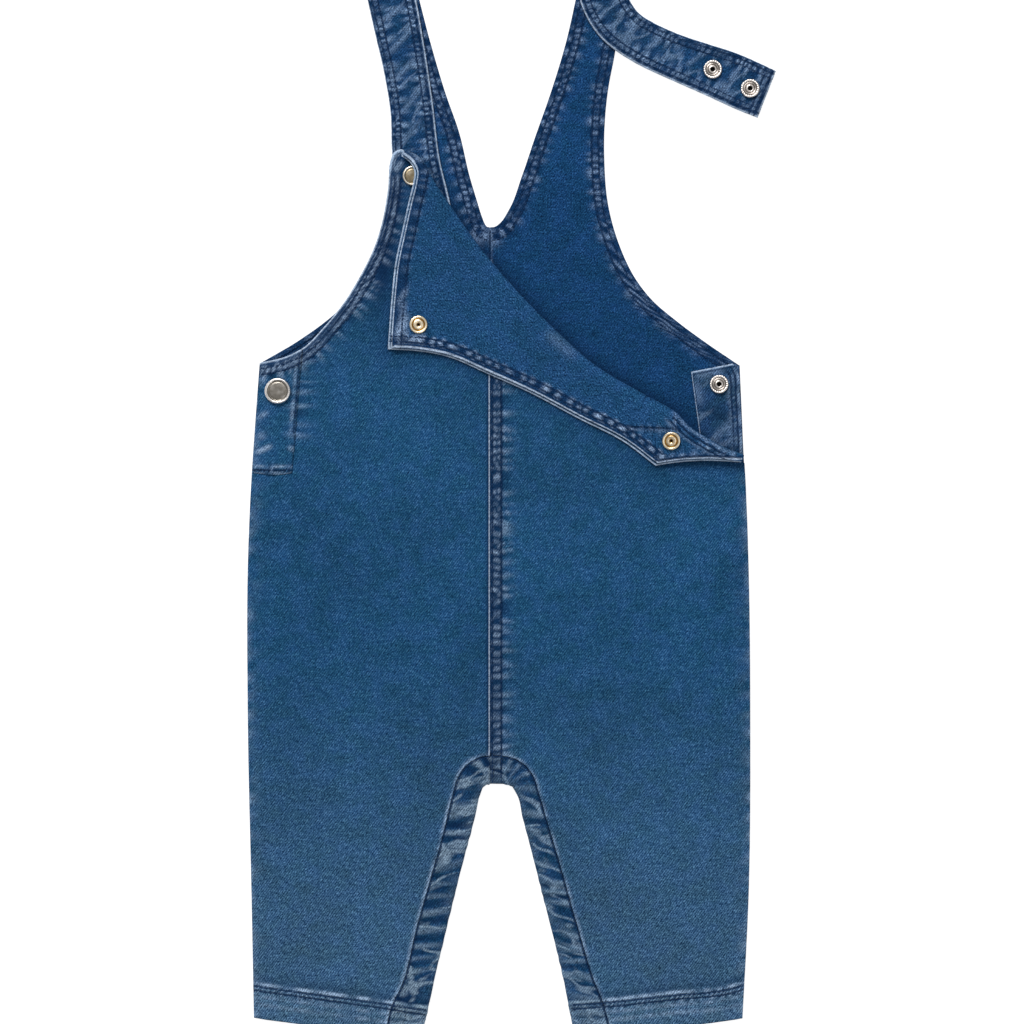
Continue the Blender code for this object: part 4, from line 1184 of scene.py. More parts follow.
@dataclass
class Shell:
    """A thin shell of cloth on grids of points that share their edges.

    The wall thins at the rims, so that every edge is rounded, but not along the flush lines,
    where the sewn pieces meet in one surface.
    """

    node: str
    thickness: float
    finish: Denim
    slot: str
    flat: tuple[float, float]
    held: str
    rests_on: tuple[str, ...]
    flush: tuple[Array, ...] = ()
    grids: list[Array] = field(default_factory=list)
    kept: list[dict[str, Array]] = field(default_factory=list)

    @property
    def name(self) -> str:
        """The piece's name."""
        return f"{self.node}_cloth"

    def lay(self, places: Array, layer: Layer, taper: Array | float = 1.0) -> None:
        """Adds a grid of places at a layer's level, raised by the layer's marks.

        Args:
            places: rows by lanes by two.
            layer: the layer that it lies in.
            taper: what the marks' height is multiplied by.
        """
        marks = layer.marks(places)
        heights = layer.level(places) + marks["height"] * taper
        self.grids.append(np.concatenate([places, heights[..., None]], axis=-1))
        self.kept.append(marks)

    def shape(self, grid: Array, layer: Layer) -> None:
        """Adds a grid whose heights are worked out already, with the layer's marks."""
        self.grids.append(grid)
        self.kept.append(layer.marks(grid[..., :2]))

    def build(self) -> bpy.types.Object:
        """Welds the grids into one mesh with its attributes and gives it its wall.

        Returns:
            The piece, standing for its solid.
        """
        points = np.vstack([grid.reshape(-1, 3) for grid in self.grids])
        starts = np.cumsum([0] + [grid.shape[0] * grid.shape[1] for grid in self.grids])
        faces = np.vstack([quads_of(*grid.shape[:2], first) for grid, first in zip(self.grids, starts)])
        marks = {name: np.concatenate([kept[name].ravel() for kept in self.kept]) for name in MARKS}
        mesh = fill_mesh(self.name, points, faces, marks)
        tidy_mesh(mesh, weld=0.02)
        piece = add_piece(self.name, mesh, self.finish.make())
        self.add_wall(piece)
        areas = np.empty(len(mesh.polygons), np.float32)
        mesh.polygons.foreach_get("area", areas)
        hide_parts(self.node)
        return piece

    def add_wall(self, piece: bpy.types.Object) -> None:
        """Gives the shell its thickness, less at a rim and one row in, and sharp flush joints."""
        mesh = piece.data
        sides = np.empty(len(mesh.loops), np.int32)
        mesh.loops.foreach_get("edge_index", sides)
        pairs = np.empty(2 * len(mesh.edges), np.int32)
        mesh.edges.foreach_get("vertices", pairs)
        pairs = pairs.reshape(-1, 2)
        uses = np.bincount(sides, minlength=len(pairs))
        border = np.unique(pairs[uses == 1])
        places = np.array([tuple(mesh.vertices[index].co[:2]) for index in border.tolist()]) / MM
        rim = border
        for line in self.flush:
            apart = away_from(places, line) > 0.5
            rim, places = rim[apart], places[apart]
        joined = np.isin(pairs, np.setdiff1d(border, rim)).all(axis=1) & (uses == 1)
        mesh.attributes.new("sharp_edge", "BOOLEAN", "EDGE").data.foreach_set("value", joined)
        touching = pairs[np.isin(pairs, rim).any(axis=1)]
        second = np.setdiff1d(np.unique(touching), rim)
        group = piece.vertex_groups.new(name="wall")
        group.add(range(len(mesh.vertices)), 1.0, "REPLACE")
        group.add(rim.tolist(), RIM_WALL, "REPLACE")
        group.add(second.tolist(), NEXT_WALL, "REPLACE")
        wall = piece.modifiers.new("wall", "SOLIDIFY")
        wall.thickness = self.thickness * MM
        wall.offset = 0.0
        wall.vertex_group = group.name


@dataclass(frozen=True)
class Snap:
    """A pressed snap: a closed profile turned about its axis, leaning with the cloth below.

    The profile runs from the middle of the top to the middle of the foot: share of the
    radius, share of the height, dullness, which from 1.3 up paints the hole's shade black.
    """

    node: str
    place: tuple[float, float]
    radius: float
    height: float
    profile: tuple[tuple[float, float, float], ...]
    finish: Plating
    slot: str
    ribs: int = 0
    around: int = 96
    rings: int = 60

    def build(self, level: Level) -> bpy.types.Object:
        """Turns the profile: radius and height by angle, with ribs pressed into the rim.

        Args:
            level: height of the surface that the snap rests on.

        Returns:
            The snap, which stands for its solid.
        """
        table = np.array(self.profile)
        length = np.concatenate([[0.0], np.cumsum(np.linalg.norm(np.diff(table[:, :2], axis=0), axis=1))])
        spread = np.linspace(0, length[-1], self.rings)
        out, up, dull = (np.interp(spread, length, table[:, k])[:, None] for k in range(3))
        angle = np.linspace(0, 2 * math.pi, self.around + 1)[None]
        rim = np.exp(-(((out - 0.86) / 0.1) ** 2)) * (up > 0.4)
        rise = self.height * (up + 0.07 * np.cos(self.ribs * angle) * rim * (self.ribs > 0))
        x, y = self.radius * out * np.cos(angle), self.radius * out * np.sin(angle)
        height, slope_across, slope_up = self.seat(level)
        z = height + rise + slope_across * x + slope_up * y
        x, y = x - slope_across * rise + self.place[0], y - slope_up * rise + self.place[1]
        points = np.stack([x, y, z], axis=-1).reshape(-1, 3)
        marks = {"dull": np.broadcast_to(dull, x.shape).ravel()}
        mesh = fill_mesh(f"{self.node}_turned", points, quads_of(*x.shape), marks)
        tidy_mesh(mesh, weld=0.01)
        piece = add_piece(f"{self.node}_turned", mesh, self.finish.make())
        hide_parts(self.node)
        return piece

    def seat(self, level: Level) -> tuple[float, float, float]:
        """Where the snap rests: its foot's height at the middle, and the slope there."""
        around = np.vstack([[self.place], ring(self.place, self.radius), ring(self.place, self.radius / 2)])
        heights = level(around)
        local = around - np.array(self.place)
        terms = np.column_stack([np.ones(len(local)), local])
        flat, slope_across, slope_up = np.linalg.lstsq(terms, heights, rcond=None)[0]
        above = (heights - terms @ (flat, slope_across, slope_up)).max()
        return float(flat + 0.6 * above), float(slope_across), float(slope_up)


CAP = (
    (0.0, 0.62, 0.8), (0.30, 0.64, 0.8), (0.62, 0.60, 0.85), (0.70, 0.52, 1.2), (0.76, 0.62, 0.9),
    (0.80, 0.90, 0.1), (0.87, 1.0, 0.0), (0.94, 0.94, 0.0), (1.0, 0.66, 0.1), (0.97, 0.25, 0.4),
    (0.84, 0.0, 0.8), (0.0, 0.0, 0.8),
)
SOCKET = (
    (0.0, 0.22, 2.0), (0.15, 0.24, 2.0), (0.20, 0.60, 1.5), (0.26, 0.86, 0.5), (0.33, 0.92, 0.1),
    (0.42, 0.80, 0.3), (0.48, 0.60, 1.2), (0.55, 0.70, 0.6), (0.61, 0.74, 0.35), (0.67, 0.62, 1.2),
    (0.76, 0.90, 0.2), (0.87, 1.0, 0.05), (0.95, 0.90, 0.05), (1.0, 0.55, 0.3), (0.92, 0.0, 0.8),
    (0.0, 0.0, 0.8),
)
SNAP_BACK = (
    (0.0, 0.30, 2.0), (0.12, 0.32, 1.9), (0.17, 0.55, 0.7), (0.28, 0.84, 0.25), (0.42, 0.90, 0.2),
    (0.56, 0.76, 0.5), (0.62, 0.50, 1.5), (0.68, 0.56, 1.1), (0.75, 0.90, 0.1), (0.88, 1.0, 0.0),
    (0.95, 0.88, 0.1), (1.0, 0.50, 0.3), (0.95, 0.0, 0.8), (0.0, 0.0, 0.8),
)


class Snaps:
    """Every snap of the garment, where it sits and what it is plated with."""

    cap_side = Snap("snap_cap_side", (-127.9, 60.8), 7.15, 2.4, CAP, PEWTER, "pewter")
    cap_bib = Snap("snap_cap_bib", (-54.2, 178.8), 5.5, 1.8, CAP, AGED, "brass")
    back_bib = Snap("snap_back_bib", (-50.9, 97.0), 5.0, 1.4, SNAP_BACK, BRASS, "brass")
    back_side = Snap("snap_back_side", (87.3, 33.4), 5.0, 1.4, SNAP_BACK, BRASS, "brass")
    socket_side = Snap("snap_socket_side", (113.9, 64.6), 5.2, 2.0, SOCKET, NICKEL, "nickel", ribs=22)
    socket_inner = replace(socket_side, node="snap_socket_strap_inner", place=(110.4, 237.5))
    socket_end = replace(socket_side, node="snap_socket_strap_end", place=(131.0, 227.0))

    @classmethod
    def build(cls) -> None:
        """Builds the snaps, each on the cloth that carries it."""
        for snap, layer in (
            (cls.cap_side, PLACKET), (cls.cap_bib, FRONT), (cls.back_bib, REVERSED),
            (cls.back_side, REVERSED), (cls.socket_side, BACK_PLACKET), (cls.socket_inner, STRAP_RIGHT),
            (cls.socket_end, STRAP_RIGHT),
        ):
            snap.build(layer.top)


# The seams, with their offsets in millimetres from the line, positive on its left
# The armhole band's darkness is partly painted shade of the turned-down bib
ARMHOLE_SEAM = Seam(
    Lines.left_armhole[Lines.left_armhole[:, 1] < TAB_START + 4.0], (-3.4, -6.6), pitch=6.6, height=0.45,
    reach_left=4.0, reach_right=4.5, wear=0.54, band=(-7.2, 3.0, 0.35), ink_and_shade=0.7, seed=11,
    rubs=((-5.0, 0.9, 0.35), (-2.0, 0.7, 0.3)),
)
PLACKET_SEAM = Seam(
    stretch(Lines.placket_line, 1, 37.0, 82.0, place_shares(80)), (0.9,), pitch=6.4, height=0.4,
    reach_left=4.0, reach_right=6.5, wear=0.38, seed=12, rubs=((2.6, 0.9, 0.45),),
)
PLACKET_HEM = Seam(
    straight((-142.5, PLACKET_FOOT + 0.2), (-120.4, PLACKET_FOOT), 30), (1.4,), pitch=5.2,
    height=0.2, reach_left=2.5, reach_right=2.0, wear=0.3, seed=13, rubs=((-0.5, 0.6, 1.0), (3.4, 0.7, 0.6)),
)
CENTRE_SEAM = Seam(
    Lines.centre, (-1.4, -6.2), pitch=7.0, height=0.45, reach_left=0.6, reach_right=5.0, wear=0.58,
    band=(-6.8, 1.6, 0.4), ink_and_shade=0.72, seed=14, tight=0.58, uneven=0.22,
)
HEM_SEAM_LEFT = Seam(
    Lines.hem_left, (0.4, -1.8), pitch=6.0, height=0.2, reach_left=1.2, reach_right=1.6, wear=0.5,
    band=(-60.0, 0.6, 0.35), seed=15, slant=1.0, pale=0.11, tight=0.4,
    rubs=((1.9, 0.9, 1.1), (-4.6, 0.9, 0.4), (-9.0, 1.2, 0.35)), shades=((4.6, 2.2, 0.55),),
)
HEM_SEAM_RIGHT = replace(HEM_SEAM_LEFT, line=Lines.hem_right, seed=16, slant=-1.0)
INNER_SEAM_LEFT = Seam(
    Lines.left_inner_seam, (-0.3,), pitch=9.6, height=0.6, reach_left=1.8, reach_right=17.0, wear=0.5,
    seed=17, slant=0.45, sewn=(-0.55,), rubs=((1.0, 0.7, 0.75),),
)
INNER_SEAM_RIGHT = Seam(
    Lines.right_inner_seam, (0.3,), pitch=9.6, height=0.6, reach_left=17.0, reach_right=1.8, wear=0.5,
    seed=18, slant=-0.45, sewn=(0.55,), rubs=((-1.0, 0.7, 0.5),),
)
BIB_LEFT_SEAM = Seam(
    Lines.bib_top, (7.2,), pitch=6.5, height=0.4, reach_left=1.5, reach_right=4.0, wear=0.45,
    band=(-3.0, 7.6, 0.3), ink_and_shade=0.6, seed=21,
)
BIB_LOWER_SEAM = Seam(
    Lines.bib_armhole, (4.3, 7.3), pitch=7.2, height=0.4, reach_left=1.2, reach_right=0.6, wear=0.8,
    band=(-3.0, 8.0, 0.3), ink_and_shade=0.55, seed=22, tight=0.93, uneven=0.35,
)
BIB_SIDE_SEAM = Seam(
    Lines.bib_side, (2.2,), pitch=6.0, height=0.4, reach_left=3.0, reach_right=2.0, wear=0.6, seed=23,
)
END_ROWS = Seam(
    Lines.end_seam, (0.0,), pitch=7.0, height=0.15, reach_left=1.5, reach_right=3.0, wear=0.25, seed=24,
    rubs=((-1.3, 0.6, 0.35),), shades=((0.0, 0.6, 1.7),),
)
END_BAND = Seam(
    Lines.end_edge, (-3.4, -5.9), pitch=5.0, height=0.3, reach_left=2.0, reach_right=2.5, wear=0.55,
    seed=25, rubs=((-1.6, 0.7, 0.4), (-7.0, 0.6, 0.35)),
)
BACK_ARMHOLE_RIGHT = Seam(
    Lines.back_right_armhole, (3.0, 6.8), pitch=7.0, height=0.4, reach_left=2.6, reach_right=3.0,
    wear=0.55, band=(-3.0, 7.4, 0.3), ink_and_shade=0.55, seed=31,
)
BACK_ARMHOLE_LEFT = Seam(
    Lines.back_left_armhole, (-3.0, -6.8), pitch=7.0, height=0.3, reach_left=3.0, reach_right=4.5,
    wear=0.5, band=(-7.4, 3.0, 0.2), ink_and_shade=0.5, seed=32,
)
NECK_SEAM_RIGHT = Seam(
    Lines.neck_right, (-3.0, -6.8), pitch=7.0, height=0.4, reach_left=3.0, reach_right=2.8, wear=0.66,
    band=(-7.4, 3.0, 0.3), ink_and_shade=0.65, seed=33,
)
NECK_SEAM_LEFT = Seam(
    Lines.neck_left, (3.0, 6.8), pitch=7.0, height=0.4, reach_left=3.2, reach_right=3.0, wear=0.72,
    band=(-3.0, 7.4, 0.3), ink_and_shade=0.65, seed=34,
)
BACK_CENTRE_SEAM = Seam(
    Lines.back_centre, (0.0,), pitch=6.0, height=0.2, reach_left=1.5, reach_right=1.5, wear=0.1,
    rubs=((0.9, 0.5, 0.55),),
)
BACK_PLACKET_SEAM = Seam(
    Lines.back_placket_outer, (2.4, 5.0), pitch=6.0, height=0.25, reach_left=2.0, reach_right=1.5,
    wear=0.35, seed=36, rubs=((0.8, 0.7, 0.8), (6.0, 0.6, 0.3)),
)


def strap_seams(left: Array, right: Array, wear: float, seed: int) -> tuple[Seam, Seam]:
    """The double rows along both edges of a strap.

    Args:
        left: the edge with the cloth on its right.
        right: the edge with the cloth on its left.
        wear: how pale the puckers are.
        seed: picks their pattern.

    Returns:
        One seam for each edge.
    """
    return (
        Seam(
            left, (-2.4, -5.2), pitch=6.6, height=0.35, wear=wear, reach_left=2.0, reach_right=4.0,
            band=(-5.8, 2.0, 0.2), ink_and_shade=0.5, seed=seed,
        ),
        Seam(
            right, (2.4, 5.2), pitch=6.6, height=0.35, wear=wear, reach_left=4.0, reach_right=2.0,
            band=(-2.0, 5.8, 0.2), ink_and_shade=0.5, seed=seed + 1,
        ),
    )


STRAP_END_SEAM = Seam(
    straight(RIGHT_STRAP_LOWER[-1], RIGHT_STRAP_UPPER[-1], 20), (2.4, 5.2), pitch=6.6, height=0.35, wear=0.6,
    reach_left=2.0, reach_right=2.0, band=(-2.0, 5.8, 0.2), ink_and_shade=0.5, seed=65,
)
FLAP_OUTLINE = np.vstack([Lines.fold, Lines.bib_side[::-1], Lines.bib_armhole[::-1], Lines.bib_top[::-1]])
BIB_OUTLINE = np.vstack(
    [Lines.left_armhole, Lines.fold, Lines.bib_side[::-1], [[CENTRE, 20.0], [-138.0, 20.0]]]
)
SIDE_PLACKET_OUTLINE = np.array(
    ((-141.0, PLACKET_FOOT), (-121.0, PLACKET_FOOT), (-117.0, 60.0), (-115.5, 82.0), (-138.0, 75.0))
)
CENTRE_RIDGE = Lines.centre - (0.36, 0.0)
TAB_EDGE = smooth_line(
    (LEFT_ARMHOLE[-1], (-60.6, 193.4), (-59.2, 192.9), (-58.9, 191.9), tuple(FOLD_BASE[0]))
)
FRONT = Layer(
    front_level,
    CLOTH,
    (ARMHOLE_SEAM, PLACKET_SEAM, CENTRE_SEAM, HEM_SEAM_LEFT, INNER_SEAM_LEFT),
    creases_of(
        (
            # The first two rows are flat bands of painted shade beside the turned-down bib, with no ridge
            (-62.0, 188.0, -73.0, 108.0, 9.0, 0.0, 0.0, 1.5),
            (-58.0, 206.0, -66.0, 154.0, 8.0, 0.0, 0.0, 1.3),
            (-66.6, 181.0, -63.8, 191.4, 1.1, 0.2, 1.3),
            (-65.8, 189.2, -60.0, 192.9, 1.2, 0.2, 1.5),
            (-64.0, 192.0, -55.5, 191.6, 1.2, 0.2, 1.6),
            (-64.0, 181.5, -60.0, 186.5, 1.5, 0.1, 0.6),
            (-65.6, 172.0, -64.0, 177.0, 1.2, 0.1, 0.45),
        )
    ),
    edges=(Lines.left_armhole, TAB_EDGE),
    ridges=(CENTRE_RIDGE,),
    soft_edges=(Lines.left_side,),
    under=(FLAP_OUTLINE, SIDE_PLACKET_OUTLINE),
    # Painted shadow below the turned-down bib's free edges
    shadowing_lines=(Lines.bib_top, Lines.bib_armhole),
    washed=0.075,
)
FRONT_LAPPED = Layer(
    front_level,
    CLOTH,
    (CENTRE_SEAM, HEM_SEAM_RIGHT, INNER_SEAM_RIGHT),
    ridges=(CENTRE_RIDGE,),
    soft_edges=(Lines.right_side[Lines.right_side[:, 1] < 10.0],),
    under=(FLAP_OUTLINE,),
    # Painted shadow below the turned-down bib's free edges
    shadowing_lines=(Lines.bib_armhole, Lines.bib_side),
    washed=0.075,
)
STRIPS = Layer(
    front_level,
    CLOTH,
    (HEM_SEAM_LEFT, HEM_SEAM_RIGHT, INNER_SEAM_LEFT, INNER_SEAM_RIGHT, CENTRE_SEAM),
    soft_edges=(Lines.left_inner_edge, Lines.right_inner_edge),
    seed=5,
)
PLACKET = Layer(
    placket_level,
    FACING,
    (ARMHOLE_SEAM, PLACKET_SEAM, PLACKET_HEM),
    creases_of(
        (
            (-140.0, 27.0, -132.0, 30.5, 1.2, 0.3, 0.8),
            (-139.0, 46.0, -134.0, 49.0, 1.3, 0.2, 0.45),
            (-138.0, 38.0, -137.0, 34.0, 2.4, 0.2, 0.35),
            (-122.0, 30.0, -115.0, 27.0, 1.1, 0.2, 0.6),
        )
    ),
    edges=(Lines.left_armhole,),
    soft_edges=(Lines.left_side,),
    seed=9,
)
TURNED = Layer(
    flap_level,
    CLOTH,
    edges=(Lines.bib_top, Lines.bib_armhole, Lines.bib_side, TAB_EDGE, straight(FOLD[0], BIB_TOP[0], 8)),
    rolled=1.1,
    crumple=0.0,
    seed=12,
)
BIB_EDGES = tuple(
    line + normals_of(line) * FACING_INSET for line in (Lines.bib_top, Lines.bib_armhole, Lines.bib_side)
)
REVERSED = Layer(
    facing_level,
    FACING,
    (BIB_LEFT_SEAM, BIB_LOWER_SEAM, BIB_SIDE_SEAM, END_ROWS, END_BAND),
    creases_of(
        (
            (-62.0, 90.0, -58.0, 101.0, 2.4, 0.4, 0.9),
            (-57.0, 88.0, -50.0, 90.0, 1.8, 0.3, 0.7),
            (20.0, 92.0, 34.0, 80.0, 3.0, 0.25, 0.15),
        )
    ),
    edges=BIB_EDGES,
    rolled=0.75,
    crumple=0.1,
    seed=14,
)
BACK = Layer(
    back_level,
    CLOTH,
    (BACK_ARMHOLE_RIGHT, BACK_ARMHOLE_LEFT, NECK_SEAM_RIGHT, NECK_SEAM_LEFT, BACK_CENTRE_SEAM),
    under=(BIB_OUTLINE, BACK_PLACKET_OUTLINE, LEFT_STRAP_OUTLINE),
    # Painted shadow on the back beside the turned-down bib's fold
    shadowing_lines=(Lines.fold,),
    painted_shadow=(1.5, 4.5),
    crumple=0.05,
    seed=16,
)
BACK_PLACKET = Layer(
    back_placket_level,
    CLOTH,
    (BACK_PLACKET_SEAM,),
    creases_of(
        (
            (121.0, 74.0, 123.0, 62.0, 1.2, -0.2),
            (101.0, 70.0, 116.0, 73.0, 3.0, 0.1, 0.4),
            (101.0, 66.0, 103.0, 54.0, 2.6, 0.1, 0.3),
            (103.0, 50.0, 124.0, 47.0, 5.0, 0.0, 0.0, 0.8),
            (118.0, 44.0, 121.0, 36.0, 3.0, 0.1, 0.25),
        )
    ),
    edges=(straight(BACK_PLACKET_INNER[-1], BACK_PLACKET_OUTER[-1], 12),),
    ridges=(Lines.back_placket_inner,),
    under=(FLAP_OUTLINE,),
    # Painted shadow on the placket beside the turned-down bib's fold
    shadowing_lines=(Lines.fold,),
    painted_shadow=(1.2, 4.0),
    crumple=0.08,
    pale=0.02,
    seed=18,
)
STRAP_LEFT = Layer(
    strap_level,
    STRAP,
    strap_seams(Lines.left_strap_outer[::-1], Lines.left_strap_inner[::-1], 0.75, 51),
    creases_of(
        (
            (-74.0, 262.0, -60.0, 272.0, 1.3, 0.3, 0.6),
            (-68.0, 246.0, -56.0, 258.0, 1.2, 0.3, 0.5),
            (-64.0, 232.0, -52.0, 244.0, 1.4, 0.3, 0.45),
            (-60.0, 214.0, -50.0, 226.0, 1.2, 0.25, 0.4),
            (-58.0, 200.0, -50.0, 210.0, 1.3, 0.25, 0.3),
        )
    ),
    edges=(Lines.left_strap_inner,),
    ridges=(Lines.left_strap_outer,),
    under=(BIB_OUTLINE,),
    seed=20,
)
STRAP_RIGHT = Layer(
    strap_level,
    STRAP,
    (*strap_seams(Lines.right_strap_upper, Lines.right_strap_lower, 0.7, 61), STRAP_END_SEAM),
    creases_of(
        (
            (62.0, 256.0, 70.0, 262.0, 1.3, 0.3, 0.5),
            (74.0, 249.0, 82.0, 254.0, 1.3, 0.3, 0.5),
            (86.0, 243.0, 94.0, 247.0, 1.2, 0.25, 0.4),
            (96.0, 240.0, 102.0, 244.0, 1.2, 0.25, 0.35),
            (120.0, 231.0, 124.0, 237.0, 1.6, 0.25, 0.5),
        )
    ),
    edges=(Lines.right_strap_lower, STRAP_END_SEAM.line),
    ridges=(Lines.right_strap_upper,),
    seed=22,
)


def roll_grid(
    line: Array, out: Array, low: Array, high: Array, reach: float, start: float, steps: int
) -> Array:
    """Rows round a half circle, from one layer up and over to the layer above it.

    Args:
        line: the line where the half circle stands.
        out: unit vectors away from the cloth.
        low: height of the lower layer along the line.
        high: height of the upper layer.
        reach: how much wider than the middle of the cloth the half circle is.
        start: the angle where it starts, in degrees, -90 at the bottom.
        steps: rows round it.

    Returns:
        The grid.
    """
    angles = np.radians(np.linspace(start, 90.0, steps + 1))[:, None]
    radius = (high - low) / 2 + reach
    places = line[None] + out[None] * (radius * np.cos(angles))[..., None]
    heights = np.broadcast_to((low + high) / 2 + radius * np.sin(angles), places.shape[:-1])
    return np.concatenate([places, heights[..., None]], axis=-1)


@dataclass
class TurnedBib:
    """The fold of the bib and the free edges that face it, from the bib's top to the side."""

    counts: tuple[int, ...] = (64, 12, 66, 16)
    end_count: int = 26
    crowding: float = 1.25
    lanes: int = 44
    roll_steps: int = 12

    def corner(self) -> Array:
        """The place where the centre seam meets the foot of the roll."""
        return np.array((CENTRE, np.interp(CENTRE, FOLD_BASE[:, 0], FOLD_BASE[:, 1])))

    def stations(self) -> tuple[Array, Array]:
        """Places along the fold and, as many, along the free edges."""
        shares = [place_shares(self.counts[0]) ** self.crowding]
        shares += [place_shares(count) for count in self.counts[1:]]
        shares += [np.interp(place_shares(self.end_count), place_shares(4), END_SHARES)]
        across = (
            FOLD_BASE[0, 0], CENTRE, FOLD_AT_CORNER, FOLD_AT_FACING_END, FOLD_AT_SIDE_CORNER, FOLD_BASE[-1, 0]
        )
        fold = [
            stretch(FOLD_BASE, 0, start, end, share)[:-1]
            for start, end, share in zip(across[:-1], across[1:], shares)
        ]
        seam = self.corner()[1]
        free = [
            stretch(Lines.bib_top, 1, BIB_TOP[0][1], seam, shares[0])[:-1],
            stretch(Lines.bib_top, 1, seam, BIB_TOP[-1][1], shares[1])[:-1],
            stretch(Lines.bib_armhole, 0, BIB_TOP[-1][0], ARMHOLE_AT_FACING_END, shares[2])[:-1],
            stretch(Lines.bib_armhole, 0, ARMHOLE_AT_FACING_END, BIB_SIDE[0][0], shares[3])[:-1],
            stretch(Lines.bib_side, 0, BIB_SIDE[0][0], BIB_SIDE[-1][0], shares[4]),
        ]
        return np.vstack([*fold, FOLD_BASE[-1:]]), np.vstack(free)

    def total(self) -> int:
        """The number of the last station."""
        return sum(self.counts) + self.end_count

    def part(self, first: int, last: int) -> tuple[Array, Array]:
        """Some of the stations, with ends that meet another piece moved in by half a seam."""
        fold, free = (line[first : last + 1].copy() for line in self.stations())
        for line in (fold, free):
            if first > 0:
                line[0] += (line[1] - line[0]) * HALF_SEAM / np.linalg.norm(line[1] - line[0])
            if last < self.total():
                line[-1] += (line[-2] - line[-1]) * HALF_SEAM / np.linalg.norm(line[-2] - line[-1])
        return fold, free

    def turn_down(
        self, shell: Shell, part: tuple[Array, Array], layer: Layer, below: Layer, rise: float
    ) -> None:
        """Adds the roll at the fold and the sheet that lies on the front below it.

        Args:
            shell: the piece that gets them.
            part: its stations.
            layer: the layer that it lies in once it is down.
            below: the layer that it comes up from.
            rise: how far it lies above the turned-down front cloth, 0 for that cloth itself.
        """
        fold, free = part
        shares = rim_shares(self.lanes, 60.0, first=False)
        places = between(fold, drawn_in(free, fold, FACING_INSET * (rise > 0)), shares)
        shell.lay(places, layer, ease(shares * 14)[None])
        start = FACING_ROLL_START if rise else -90.0
        low = front_level(fold) + below.marks(fold)["height"]
        roll = roll_grid(fold, normals_of(fold), low, flap_level(fold), rise, start, self.roll_steps)
        shell.shape(roll, layer)


